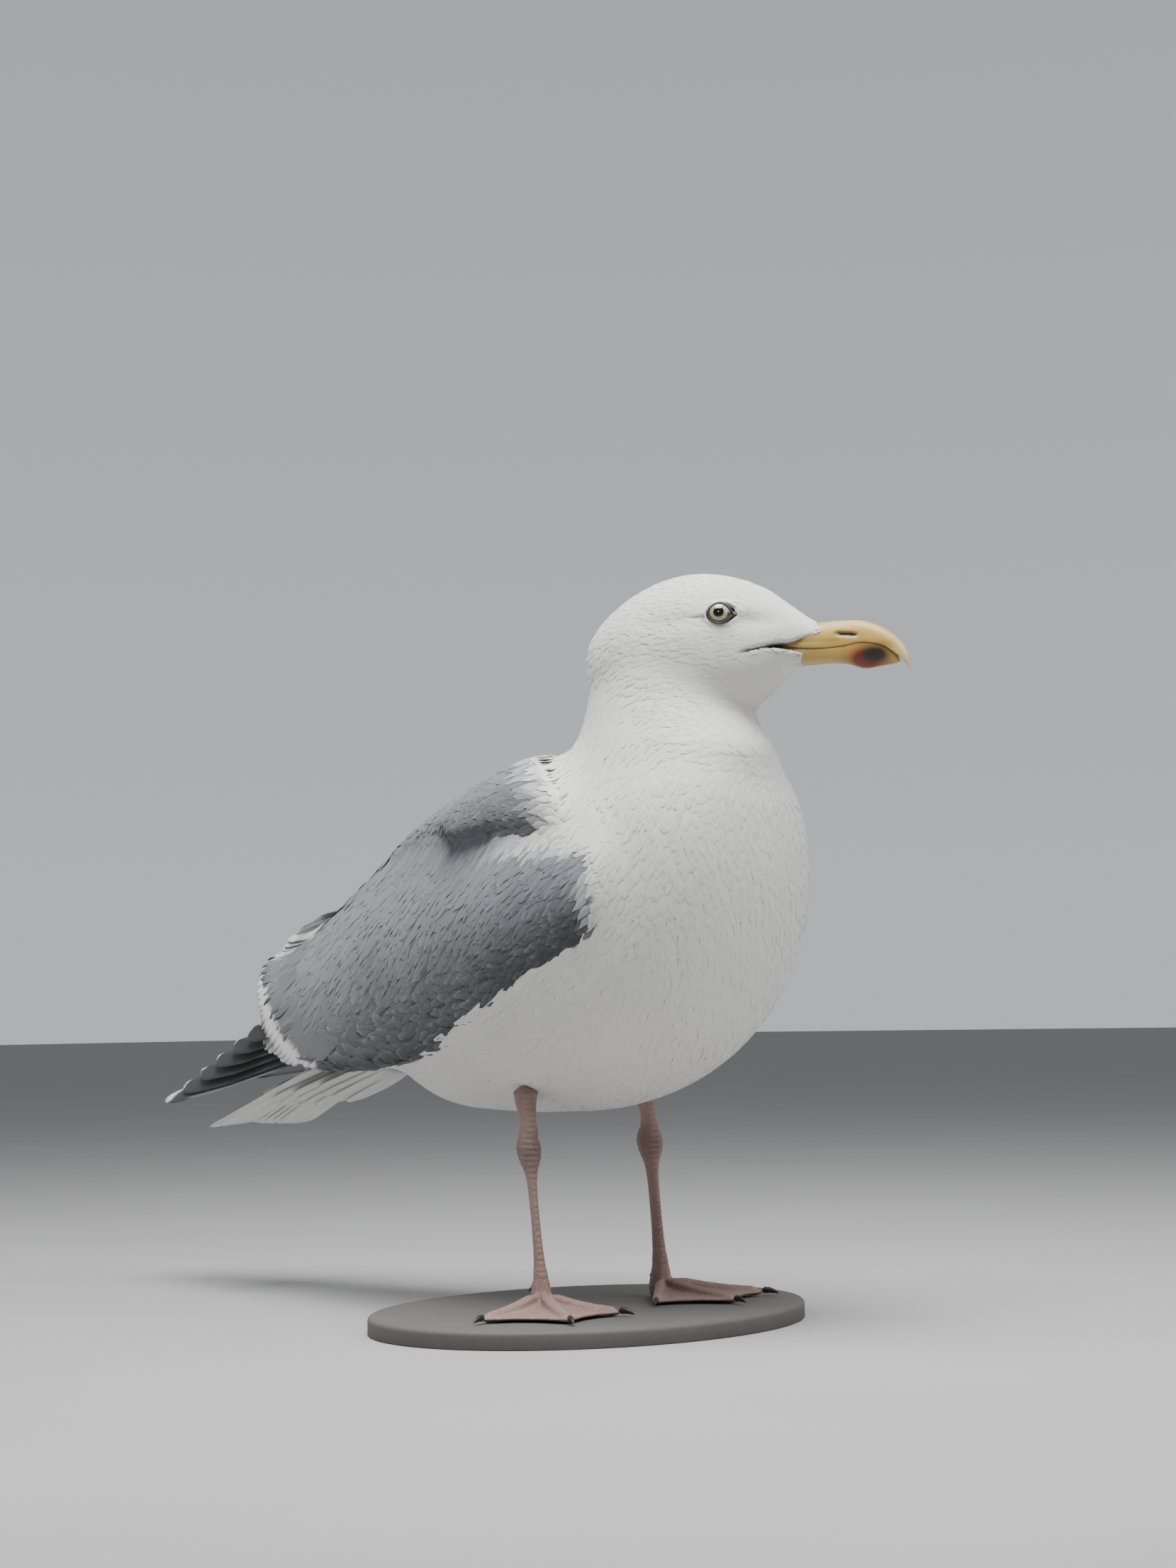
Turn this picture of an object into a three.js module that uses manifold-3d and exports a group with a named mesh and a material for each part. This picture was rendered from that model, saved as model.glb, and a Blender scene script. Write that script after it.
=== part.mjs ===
// An adult herring gull, Larus argentatus, standing at rest with its wings folded, at life size.
// Millimetres, +Z up. The bird faces +X, its left side is +Y, and it stands on the plane z = 0.
// The body is lofted from cross-sections, parted into head, neck and trunk by thin cuts, and dressed
// with the mantle, the folded wings and the tail. Bill, eyes, legs, feet and claws are pieces of their own.
import * as THREE from "three";
import { mergeVertices } from "three/addons/utils/BufferGeometryUtils.js";
import Module from "manifold-3d";

const wasm = await Module();
wasm.setup();

// ---------------------------------------------------------------- driving dimensions

const GAP = 0.4; // clearance between neighbouring pieces
const CUT = 0.3; // width of the thin cuts that part the body
const MERGE = 1e-4; // points closer than this are one
const HEAD_PLACE = new THREE.Vector3(57, 3, 298); // middle of the skull
const HEAD_TURN = THREE.MathUtils.degToRad(15); // the head looks a little to its left
const EYE = { x: 26, y: 19.4, z: 13.7, radius: 6.0 }; // in the head's own frame
const RING_POINTS = 20; // points round a cross-section of the body

// The planes that part the flesh, each through (x, z) and rising towards the tail by its tilt.
const THROAT = { x: 78, z: 268, tilt: -0.2 };
const NECK_FOOT = { x: 40, z: 246, tilt: -0.12 };

// Cross-sections of the trunk under its mantle and wings, from the breast to the root of the tail.
const TRUNK = [
  { x: 104, top: 204, bottom: 204, half: 0, mid: 204 },
  { x: 101.5, top: 229, bottom: 179, half: 25, mid: 203 },
  { x: 93, top: 252, bottom: 151, half: 43, mid: 199 },
  { x: 74, top: 264, bottom: 122, half: 59, mid: 187 },
  { x: 46, top: 267, bottom: 102, half: 67, mid: 174 },
  { x: 12, top: 263, bottom: 91, half: 70, mid: 164 },
  { x: -25, top: 253, bottom: 88, half: 67, mid: 157 },
  { x: -60, top: 239, bottom: 88, half: 59, mid: 150 },
  { x: -92, top: 220, bottom: 91, half: 50, mid: 143 },
  { x: -120, top: 193, bottom: 103, half: 40, mid: 138 },
  { x: -150, top: 164, bottom: 108, half: 31, mid: 133 },
  { x: -180, top: 140, bottom: 106, half: 24, mid: 123 },
  { x: -204, top: 120, bottom: 102, half: 16, mid: 111 },
  { x: -211, top: 110, bottom: 110, half: 0, mid: 110 },
];

// Level cross-sections of the neck, from inside the trunk to inside the head.
const NECK = [
  { z: 214, x: 44, fore: 0, half: 0, y: 0 },
  { z: 218, x: 46, fore: 38, half: 38, y: 0 },
  { z: 238, x: 50, fore: 47, half: 46, y: 0 },
  { z: 250, x: 50, fore: 49.5, half: 44, y: 0 },
  { z: 262, x: 47, fore: 46, half: 39, y: 0.5 },
  { z: 276, x: 44, fore: 40, half: 35, y: 1.5 },
  { z: 290, x: 44, fore: 36.5, half: 32, y: 2 },
  { z: 304, x: 46, fore: 29, half: 27, y: 2.5 },
  { z: 314, x: 47, fore: 17, half: 17, y: 2.5 },
  { z: 317, x: 47, fore: 0, half: 0, y: 2.5 },
];

// Cross-sections of the head in its own frame, from the nape to the feathers at the bill.
const HEAD = [
  { x: -49.5, top: -4, bottom: -4, half: 0, mid: -4 },
  { x: -47.5, top: 6, bottom: -14, half: 13, mid: -3.5 },
  { x: -41.5, top: 17, bottom: -25, half: 22, mid: -3 },
  { x: -27, top: 28.4, bottom: -33, half: 28, mid: -2.5 },
  { x: -9, top: 35.6, bottom: -36, half: 29.5, mid: -2 },
  { x: 9, top: 36.9, bottom: -34, half: 28.5, mid: -1.5 },
  { x: 25, top: 33.8, bottom: -30, half: 25, mid: -1 },
  { x: 39, top: 28, bottom: -22.3, half: 19.5, mid: 0 },
  { x: 50, top: 20.4, bottom: -13.6, half: 13.6, mid: 1 },
  { x: 59, top: 13.9, bottom: -10.2, half: 9.4, mid: 1.5 },
  { x: 67, top: 8.8, bottom: -3, half: 7, mid: 2.5 },
  { x: 73, top: 3.6, bottom: 3.4, half: 0, mid: 3.5 },
];

// The bill in the head's frame. The upper half ends in the hook, the lower one swells at the gonys.
const UPPER_BILL = [
  { x: 44, top: 1.6, bottom: 1.4, half: 0, mid: 1.5 },
  { x: 46, top: 6, bottom: -0.6, half: 5.5, mid: 0.6 },
  { x: 60, top: 8.6, bottom: -3.2, half: 7.4, mid: -2.2 },
  { x: 71, top: 8.8, bottom: -3.9, half: 6.6, mid: -3 },
  { x: 80, top: 8.6, bottom: -3.6, half: 5.7, mid: -2.7 },
  { x: 88.5, top: 7.6, bottom: -2.6, half: 5.0, mid: -1.8 },
  { x: 97.5, top: 3.6, bottom: -4.6, half: 4.0, mid: -3.8 },
  { x: 103.8, top: -1.6, bottom: -9, half: 2.9, mid: -7.8 },
  { x: 107.8, top: -7.4, bottom: -13, half: 1.8, mid: -11.6 },
  { x: 109.4, top: -14.6, bottom: -15, half: 0, mid: -14.8 },
];
const LOWER_BILL = [
  { x: 44, top: -3.6, bottom: -4.4, half: 0, mid: -4 },
  { x: 46, top: 0.4, bottom: -8, half: 5, mid: -1.6 },
  { x: 58, top: -1.6, bottom: -9.7, half: 6.8, mid: -3.6 },
  { x: 71, top: -2.2, bottom: -9.8, half: 6.1, mid: -4.4 },
  { x: 79.5, top: -2, bottom: -10.9, half: 5.3, mid: -4.2 },
  { x: 87.5, top: -0.9, bottom: -13.4, half: 4.6, mid: -3.2 },
  { x: 95.5, top: -2, bottom: -12.9, half: 3.7, mid: -4.6 },
  { x: 101.5, top: -5.6, bottom: -12.4, half: 2.4, mid: -8.4 },
  { x: 104.6, top: -11.1, bottom: -11.7, half: 0, mid: -11.4 },
];

// The mantle lies over the back like a saddle. Its edges are the scapulars, which overhang the wings.
const MANTLE = {
  nape: -22, // its front edge on the ridge of the back
  rump: -158, // its rear edge there
  frontSweep: 66, // how far ahead of these two the edges lie at the flanks
  rearSweep: 112,
  firstAngle: 0.04 * Math.PI, // the arch runs from one scapular edge over the back to the other
  arc: 0.92 * Math.PI,
  roundness: 0.9, // below one fills out the shoulders of the arch
  thick: 7,
  edgeThick: 0.12, // share of the thickness left at the edges
  thinAhead: 6, // the edges thin over this share of the length, as one part in six
  thinAside: 7,
  steps: 8,
  across: 14,
};
const MANTLE_ARCH = [
  { x: 46, ridge: 266, edge: 210, half: 65 },
  { x: 10, ridge: 265, edge: 208, half: 68 },
  { x: -28, ridge: 258.5, edge: 206, half: 65 },
  { x: -60, ridge: 250, edge: 204, half: 54 },
  { x: -96, ridge: 241, edge: 199, half: 38 },
  { x: -130, ridge: 228, edge: 191, half: 28 },
  { x: -162, ridge: 211, edge: 181, half: 19 },
];

// The right wing folded on the flank: its lower and upper edge from the bend to the tips of the tertials.
const WING = [
  { x: 67, yLow: 67, zLow: 196, yTop: 67, zTop: 198, bulge: 0 },
  { x: 61, yLow: 70, zLow: 176, yTop: 63, zTop: 211, bulge: 4 },
  { x: 38, yLow: 72, zLow: 159, yTop: 61, zTop: 219, bulge: 7 },
  { x: 4, yLow: 70, zLow: 141, yTop: 58, zTop: 222, bulge: 10 },
  { x: -32, yLow: 64, zLow: 126, yTop: 45, zTop: 229, bulge: 12 },
  { x: -72, yLow: 55, zLow: 114, yTop: 30, zTop: 227, bulge: 13 },
  { x: -112, yLow: 48, zLow: 110, yTop: 13, zTop: 224, bulge: 12 },
  { x: -150, yLow: 42, zLow: 109, yTop: 4, zTop: 215, bulge: 9 },
  { x: -186, yLow: 36, zLow: 115, yTop: 2, zTop: 193, bulge: 6 },
  { x: -216, yLow: 29, zLow: 134, yTop: 2, zTop: 177, bulge: 4 },
  { x: -238, yLow: 17, zLow: 157, yTop: 5, zTop: 169, bulge: 1 },
  { x: -244, yLow: 10, zLow: 163, yTop: 10, zTop: 165, bulge: 0 },
];
const WING_SLAB = {
  thick: 20, // before the trunk is cut from it
  edgeThick: 0.08, // share of the thickness left at the edges
  thinAhead: 5, // the edges thin over one part in five of the length
  thinAside: 4,
  roundness: 0.8, // below one makes the bulge fuller towards the edges
  midline: 0.4, // the two wings keep this far from the middle of the back
  steps: 13,
  across: 6,
};

// A long feather: flat, widest past its middle, with a round tip.
const BLADE = {
  stations: [0, 0.35, 0.78, 0.93, 1], // shares of the length
  round: 6,
  widen: 1.4, // how fast the width grows from the root
  tipFrom: 0.72, // where the tip starts to round off
  thinning: 0.55, // share of the thickness lost by the tip
  tipThick: 0.3,
};

// Primaries: stacked blades that leave the wing under the tertials, the longest at the bottom.
const PRIMARIES = {
  count: 5,
  right: { root: [-150, -33, 120], tip: [-334, -6, 93] },
  left: { root: [-150, 33, 124], tip: [-320, 14, 106] },
  shorten: 20, // each blade ends this much before the one below it
  rise: 3.2, // its root lies this much higher
  tipRise: 4.6, // and its tip this much
  aside: 0.6, // and its root this much further out
  width: 24,
  rootWidth: 0.5, // share of the width at the root
  thick: 5.6,
  roll: 0.5,
};

// The hollow under the wing that the primaries leave through: shares of their length and half widths.
const WING_HOLLOW = {
  stations: [[-0.1, 19], [-0.03, 20], [0.35, 19], [0.75, 18], [0.8, 18]],
  halfHeight: 21,
  aside: 1.5,
  up: 7,
};

// Tail: six pairs of feathers, closed to a narrow fan that slopes down from the rump.
const TAIL = {
  pairs: 6,
  root: new THREE.Vector3(-176, 0, 119),
  length: 101,
  slope: THREE.MathUtils.degToRad(23),
  fan: THREE.MathUtils.degToRad(8),
  rootSpread: 15,
  shortening: 0.03, // share of the length that the outermost feather lacks
  width: 21,
  rootWidth: 0.8,
  thick: 4.2,
  fall: 0.5, // each outer feather lies this much lower
};

// The slot under the rump that takes the roots of the tail.
const TAIL_SLOT = { start: -3, end: 91, halfThick: 4.8, down: 1 };

// Legs and feet. Headings turn from +X towards +Y.
const LEGS = {
  right: { foot: [2, -44], ankle: [-6, -43], thigh: [-11, -40], heading: -30 },
  left: { foot: [-3, 40], ankle: [-10, 41], thigh: [-13, 40], heading: -4 },
};
const ANKLE_HEIGHT = 73;
const THIGH_HEIGHT = 104;
const TARSUS_FOOT = 15; // height at which the tarsus meets the foot
const TOES = [
  { name: "outer", turn: 46, length: 50, radius: 2.7 },
  { name: "middle", turn: 0, length: 52, radius: 2.8 },
  { name: "inner", turn: -46, length: 42, radius: 2.5 },
];
const TOE_RISE = 5.5; // how much higher the toes start at the heel than they end
const FLAT = 0.45; // how far the pads would sink, which makes the flats they stand on
const TOE_STATIONS = [0, 0.18, 0.36, 0.54, 0.72, 0.9, 1];
const TOE_ROUND = 6;
const WEB = {
  thick: 1.5,
  dip: 0.2, // share of the toes' length that the edge curves in by
  start: 0.1,
  reach: 0.97, // the edge ends a little short of the claws
  height: 1.7, // over the slope that the toes follow
  sag: 1.2,
  steps: 3,
  across: 3,
};
const CLAW = { length: 7.5, radius: 1.6, height: 2.4, overlap: 1.2 };
// The small hind toe, high on the back of the foot and turned inward.
const HIND = { turn: 165, root: 12.5, length: 9, radius: 2.1, claw: 0.6, clawRadius: 1.2, clawDrop: 2.8 };
const SHANK_START = ANKLE_HEIGHT + 6; // where the joint's pad ends and the feathered thigh's shaft begins

// A plain oval plate under the feet: the long wings and tail would otherwise tip the bird backwards.
const STAND = { x: -2, y: -9, halfX: 88, halfY: 112, thick: 8, edge: 2, gap: 0.2, sides: 32 };

// ---------------------------------------------------------------- materials

const material = (color, roughness, metalness = 0) =>
  new THREE.MeshStandardMaterial({ color, roughness, metalness });
const WHITE = material(0xf2f1ec, 0.9);
const GREY = material(0x9aa3ab, 0.85);
const BLACK = material(0x17181a, 0.7);
const BILL = material(0xe0b04a, 0.4);
const IRIS = material(0xe6dca0, 0.1);
const LEG = material(0xc79a92, 0.6);
const HORN = material(0x1e1b1a, 0.45);
const PLATE = material(0x6d6a64, 0.8);

// ---------------------------------------------------------------- shape helpers

// A closed geometry from vertices and triangles, turned so that its faces point out.
function closedGeometry(points, triangles) {
  const geometry = new THREE.BufferGeometry().setFromPoints(points);
  let volume = 0;
  for (const [a, b, c] of triangles) {
    volume += points[a].dot(points[b].clone().cross(points[c]));
  }
  const faces = volume < 0 ? triangles.map(([a, b, c]) => [a, c, b]) : triangles;
  geometry.setIndex(faces.flat());
  return geometry;
}

// Joins rings of equally many points into a tube, closed at each end by a fan to one point.
function loft(rings) {
  const round = rings[1].length;
  const points = [rings[0][0], ...rings.slice(1, -1).flat(), rings.at(-1)[0]];
  const last = points.length - 1;
  const at = (ring, k) => 1 + ring * round + (k % round);
  const triangles = [];
  for (let k = 0; k < round; k += 1) {
    triangles.push([0, at(0, k), at(0, k + 1)]);
    triangles.push([last, at(rings.length - 3, k + 1), at(rings.length - 3, k)]);
  }
  for (let ring = 0; ring < rings.length - 3; ring += 1) {
    for (let k = 0; k < round; k += 1) {
      triangles.push([at(ring, k), at(ring + 1, k), at(ring + 1, k + 1)]);
      triangles.push([at(ring, k), at(ring + 1, k + 1), at(ring, k + 1)]);
    }
  }
  return closedGeometry(points, triangles);
}

// Smooth values between stations: returns t in 0..1 -> { key: value }.
function between(stations) {
  const keys = Object.keys(stations[0]);
  const curves = [];
  for (let first = 0; first < keys.length; first += 3) {
    const part = keys.slice(first, first + 3);
    const knots = stations.map((s) => new THREE.Vector3(...part.map((key) => s[key])));
    curves.push({ part, curve: new THREE.CatmullRomCurve3(knots, false, "catmullrom", 0.5) });
  }
  return (t) => {
    const values = {};
    for (const { part, curve } of curves) {
      const point = curve.getPoint(t);
      part.forEach((key, i) => (values[key] = point.getComponent(i)));
    }
    return values;
  };
}

// A ring in the plane x = s.x: half wide, from bottom to top, widest at mid.
function uprightRing(s, round, square = 1) {
  const ring = [];
  for (let k = 0; k < round; k += 1) {
    const angle = (2 * Math.PI * k) / round;
    const across = Math.sign(Math.cos(angle)) * Math.abs(Math.cos(angle)) ** square;
    const along = Math.sin(angle);
    const reach = along > 0 ? s.top - s.mid : s.mid - s.bottom;
    const height = s.mid + reach * Math.sign(along) * Math.abs(along) ** square;
    ring.push(new THREE.Vector3(s.x, s.half * across, height));
  }
  return ring;
}

function uprightLoft(stations, steps, round, square = 1) {
  const value = between(stations);
  const rings = [];
  for (let i = 0; i <= steps; i += 1) rings.push(uprightRing(value(i / steps), round, square));
  return loft(rings);
}

// A limb along a path of [x, y, z, foreRadius, sideRadius] stations, with level or upright rings.
function limb(path, round, steps, upright = true) {
  const stations = path.map(([x, y, z, fore, side]) => ({ x, y, z, fore, side }));
  const value = between(stations);
  const rings = [];
  for (let i = 0; i <= steps; i += 1) {
    const s = value(i / steps);
    const scale = i === 0 || i === steps ? 0 : 1;
    const ring = [];
    for (let k = 0; k < round; k += 1) {
      const angle = (2 * Math.PI * k) / round;
      const a = s.fore * scale * Math.cos(angle);
      const b = s.side * scale * Math.sin(angle);
      const point = upright ? [s.x + a, s.y + b, s.z] : [s.x, s.y + b, s.z + a];
      ring.push(new THREE.Vector3(...point));
    }
    rings.push(ring);
  }
  return loft(rings);
}

// A closed slab between two surfaces, each a function of u and v in 0..1.
function slab(outer, inner, steps, across) {
  const points = [];
  for (const surface of [outer, inner]) {
    for (let i = 0; i <= steps; i += 1) {
      for (let j = 0; j <= across; j += 1) points.push(surface(i / steps, j / across));
    }
  }
  const sheet = (steps + 1) * (across + 1);
  const at = (side, i, j) => side * sheet + i * (across + 1) + j;
  const triangles = [];
  const quad = (a, b, c, d) => triangles.push([a, b, c], [a, c, d]);
  for (let i = 0; i < steps; i += 1) {
    for (let j = 0; j < across; j += 1) {
      quad(at(0, i, j), at(0, i + 1, j), at(0, i + 1, j + 1), at(0, i, j + 1));
      quad(at(1, i, j), at(1, i, j + 1), at(1, i + 1, j + 1), at(1, i + 1, j));
    }
    quad(at(0, i, 0), at(1, i, 0), at(1, i + 1, 0), at(0, i + 1, 0));
    quad(at(0, i, across), at(0, i + 1, across), at(1, i + 1, across), at(1, i, across));
  }
  for (let j = 0; j < across; j += 1) {
    quad(at(0, 0, j), at(0, 0, j + 1), at(1, 0, j + 1), at(1, 0, j));
    quad(at(0, steps, j), at(1, steps, j), at(1, steps, j + 1), at(0, steps, j + 1));
  }
  return closedGeometry(points, triangles);
}

// The geometry with nothing but its points and faces.
function bare(geometry) {
  geometry.deleteAttribute("normal");
  geometry.deleteAttribute("uv");
  return geometry;
}

// The geometry with each vertex moved out along its normal.
function swell(geometry, distance) {
  const grown = geometry.clone();
  grown.computeVertexNormals();
  const place = grown.getAttribute("position");
  const normal = grown.getAttribute("normal");
  for (let i = 0; i < place.count; i += 1) {
    place.setXYZ(
      i,
      place.getX(i) + distance * normal.getX(i),
      place.getY(i) + distance * normal.getY(i),
      place.getZ(i) + distance * normal.getZ(i),
    );
  }
  grown.deleteAttribute("normal");
  return grown;
}

function mirrored(geometry) {
  const other = geometry.clone().applyMatrix4(new THREE.Matrix4().makeScale(1, -1, 1));
  const index = Array.from(other.index.array);
  for (let i = 0; i < index.length; i += 3) {
    [index[i + 1], index[i + 2]] = [index[i + 2], index[i + 1]];
  }
  other.setIndex(index);
  return other;
}

// ---------------------------------------------------------------- solids

function toSolid(geometry) {
  const plain = new THREE.BufferGeometry();
  plain.setAttribute("position", geometry.getAttribute("position"));
  plain.setIndex(geometry.index);
  const merged = mergeVertices(plain, MERGE);
  return new wasm.Manifold(
    new wasm.Mesh({
      numProp: 3,
      vertProperties: new Float32Array(merged.getAttribute("position").array),
      triVerts: new Uint32Array(merged.index.array),
    }),
  );
}

// The largest body of a solid as a geometry: a cut may leave a crumb beside it.
function toGeometry(solid) {
  const bodies = solid.decompose().sort((a, b) => b.volume() - a.volume());
  const mesh = bodies[0].getMesh();
  const geometry = new THREE.BufferGeometry();
  geometry.setAttribute("position", new THREE.BufferAttribute(mesh.vertProperties, 3));
  geometry.setIndex(new THREE.BufferAttribute(mesh.triVerts, 1));
  return geometry;
}

const join = (geometries) => geometries.map(toSolid).reduce((sum, solid) => sum.add(solid));
const clearOf = (solid, geometries, gap = GAP) =>
  geometries.reduce((rest, geometry) => rest.subtract(toSolid(swell(geometry, gap))), solid);

// A big block whose top face is a tilted plane through (x, z), to part the body along it.
function halfSpace(x, z, tilt, offset) {
  const size = 900; // larger than the bird
  const block = bare(new THREE.BoxGeometry(size, size, size));
  block.translate(0, 0, offset - size / 2);
  block.rotateY(-tilt);
  block.translate(x, 0, z);
  return toSolid(block);
}

// ---------------------------------------------------------------- body

const headFrame = new THREE.Matrix4()
  .makeRotationZ(HEAD_TURN)
  .setPosition(HEAD_PLACE);

function neckLoft() {
  const value = between(NECK);
  const steps = 10;
  const rings = [];
  for (let i = 0; i <= steps; i += 1) {
    const s = value(i / steps);
    const ring = [];
    for (let k = 0; k < RING_POINTS; k += 1) {
      const angle = (2 * Math.PI * k) / RING_POINTS;
      ring.push(new THREE.Vector3(s.x + s.fore * Math.cos(angle), s.y + s.half * Math.sin(angle), s.z));
    }
    rings.push(ring);
  }
  return loft(rings);
}

const trunkShape = uprightLoft(TRUNK, 18, RING_POINTS, 0.96);
const headShape = uprightLoft(HEAD, 14, RING_POINTS).applyMatrix4(headFrame);
const neckShape = neckLoft();
const upperBillShape = uprightLoft(UPPER_BILL, 12, 10, 0.8).applyMatrix4(headFrame);
const lowerBillShape = uprightLoft(LOWER_BILL, 10, 8, 0.85).applyMatrix4(headFrame);

function eyeShape(side) {
  const ball = bare(new THREE.SphereGeometry(EYE.radius, 12, 8));
  ball.translate(EYE.x, side * EYE.y, EYE.z);
  return mergeVertices(ball.applyMatrix4(headFrame), MERGE);
}
const eyeShapes = { left: eyeShape(1), right: eyeShape(-1) };

// ---------------------------------------------------------------- mantle and wings

// 1 in the middle of a slab, falling to 0 in a round edge over one part in `parts` of it.
const edgeShare = (t, parts) => Math.sqrt(Math.min(1, parts * t, parts * (1 - t)));

function mantleShape() {
  const arch = between(MANTLE_ARCH);
  const surface = (inset) => (u, v) => {
    const angle = MANTLE.firstAngle + MANTLE.arc * v;
    const side = Math.cos(angle);
    const front = MANTLE.nape + MANTLE.frontSweep * side * side;
    const rear = MANTLE.rump + MANTLE.rearSweep * side * side;
    const x = THREE.MathUtils.lerp(front, rear, u);
    const first = MANTLE_ARCH[0].x;
    const last = MANTLE_ARCH.at(-1).x;
    const s = arch(THREE.MathUtils.clamp((first - x) / (first - last), 0, 1));
    const full = edgeShare(u, MANTLE.thinAhead) * edgeShare(v, MANTLE.thinAside);
    const depth = inset * THREE.MathUtils.lerp(MANTLE.edgeThick, 1, full);
    return new THREE.Vector3(
      x,
      (s.half - depth) * side,
      s.edge + (s.ridge - s.edge - depth) * Math.sin(angle) ** MANTLE.roundness,
    );
  };
  return slab(surface(0), surface(MANTLE.thick), MANTLE.steps, MANTLE.across);
}

// The left wing's slab: the outer face follows the stations, the inner one lies towards the body.
function wingShape() {
  const value = between(WING);
  const surface = (inset) => (u, v) => {
    const s = value(u);
    const y = THREE.MathUtils.lerp(s.yLow, s.yTop, v);
    const z = THREE.MathUtils.lerp(s.zLow, s.zTop, v);
    const rise = new THREE.Vector2(s.yTop - s.yLow, s.zTop - s.zLow).normalize();
    const out = new THREE.Vector2(rise.y, -rise.x);
    const full = edgeShare(u, WING_SLAB.thinAhead) * edgeShare(v, WING_SLAB.thinAside);
    const depth = inset * THREE.MathUtils.lerp(WING_SLAB.edgeThick, 1, full);
    const lift = s.bulge * Math.sin(Math.PI * v) ** WING_SLAB.roundness - depth;
    return new THREE.Vector3(s.x, Math.max(y + out.x * lift, WING_SLAB.midline), z + out.y * lift);
  };
  return slab(surface(0), surface(WING_SLAB.thick), WING_SLAB.steps, WING_SLAB.across);
}

// One long feather, flat and round-ended, lying along +X from its root, its width across Y.
function blade(length, { width, rootWidth, thick }) {
  const rings = BLADE.stations.map((t) => {
    const past = Math.max(0, (t - BLADE.tipFrom) / (1 - BLADE.tipFrom));
    const tip = Math.sqrt(1 - past * past);
    const end = t === 0 || t === 1 ? 0 : 1;
    const half = (width / 2) * Math.min(1, rootWidth + t * BLADE.widen) * tip * end;
    const flat = (thick / 2) * (1 - BLADE.thinning * t) * Math.max(tip, BLADE.tipThick) * end;
    const ring = [];
    for (let k = 0; k < BLADE.round; k += 1) {
      const angle = (2 * Math.PI * k) / BLADE.round;
      ring.push(new THREE.Vector3(t * length, half * Math.cos(angle), flat * Math.sin(angle)));
    }
    return ring;
  });
  return loft(rings);
}

// Turns +X to a direction, keeping the blade's width level, then rolls it about its shaft.
function aim(geometry, root, tip, roll) {
  const along = tip.clone().sub(root).normalize();
  const across = new THREE.Vector3(0, 0, 1).cross(along).normalize();
  const up = along.clone().cross(across);
  const turn = new THREE.Matrix4().makeBasis(along, across, up);
  return geometry
    .applyMatrix4(new THREE.Matrix4().makeRotationX(roll))
    .applyMatrix4(turn)
    .translate(root.x, root.y, root.z);
}

function primariesShape(side, { root, tip }) {
  const from = new THREE.Vector3(...root);
  const to = new THREE.Vector3(...tip);
  const whole = from.distanceTo(to);
  const along = to.clone().sub(from).normalize();
  const blades = [];
  for (let i = 0; i < PRIMARIES.count; i += 1) {
    const length = whole - PRIMARIES.shorten * i;
    const start = from.clone();
    start.y += side * PRIMARIES.aside * i;
    start.z += PRIMARIES.rise * i;
    const end = start.clone().addScaledVector(along, length);
    end.z += (PRIMARIES.tipRise - PRIMARIES.rise) * i;
    blades.push(aim(blade(length, PRIMARIES), start, end, side * PRIMARIES.roll));
  }
  return blades;
}

function tailShapes() {
  const blades = [];
  for (let i = 0; i < TAIL.pairs; i += 1) {
    for (const side of [-1, 1]) {
      const share = (i + 0.5) / TAIL.pairs;
      const turn = side * TAIL.fan * share;
      const root = TAIL.root.clone();
      root.y += side * TAIL.rootSpread * share;
      root.z -= TAIL.fall * i;
      const length = TAIL.length * (1 - TAIL.shortening * share * share);
      const level = Math.cos(TAIL.slope) * length;
      const tip = root.clone();
      tip.x -= level * Math.cos(turn);
      tip.y += level * Math.sin(turn);
      tip.z -= Math.sin(TAIL.slope) * length;
      blades.push(aim(blade(length, TAIL), root, tip, 0));
    }
  }
  return blades;
}

// The room that the primaries and the tail take up inside the wings and the trunk, as simple shapes.
function primariesRoom(side, { root, tip }) {
  const path = WING_HOLLOW.stations.map(([share, half]) => {
    const [x, y, z] = root.map((value, i) => THREE.MathUtils.lerp(value, tip[i], share));
    return [x, y + side * WING_HOLLOW.aside, z + WING_HOLLOW.up, WING_HOLLOW.halfHeight, half];
  });
  return limb(path, 8, path.length - 1, false);
}

function tailRoom() {
  const { start, end, halfThick, down } = TAIL_SLOT;
  const surface = (sign) => (u, v) => {
    const along = THREE.MathUtils.lerp(start, end, u);
    const half = TAIL.rootSpread + TAIL.width / 2 + u * end * Math.tan(TAIL.fan);
    return new THREE.Vector3(
      TAIL.root.x - along * Math.cos(TAIL.slope),
      THREE.MathUtils.lerp(-half, half, v),
      TAIL.root.z - along * Math.sin(TAIL.slope) - down + sign * halfThick,
    );
  };
  return slab(surface(1), surface(-1), 1, 1);
}

// ---------------------------------------------------------------- legs and feet, in the leg's own frame

// How high the sole lies along a toe, from the heel at 0 to the tip at 1.
const soleHeight = (t) => TOE_RISE * (1 - t) ** 2.2;

function toePath(toe) {
  return TOE_STATIONS.map((t) => {
    const radius = toe.radius * (1.25 - 0.35 * t) * (t === 1 ? 0.75 : 1);
    return [t * toe.length, 0, soleHeight(t) + radius - FLAT, radius, radius];
  });
}

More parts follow.
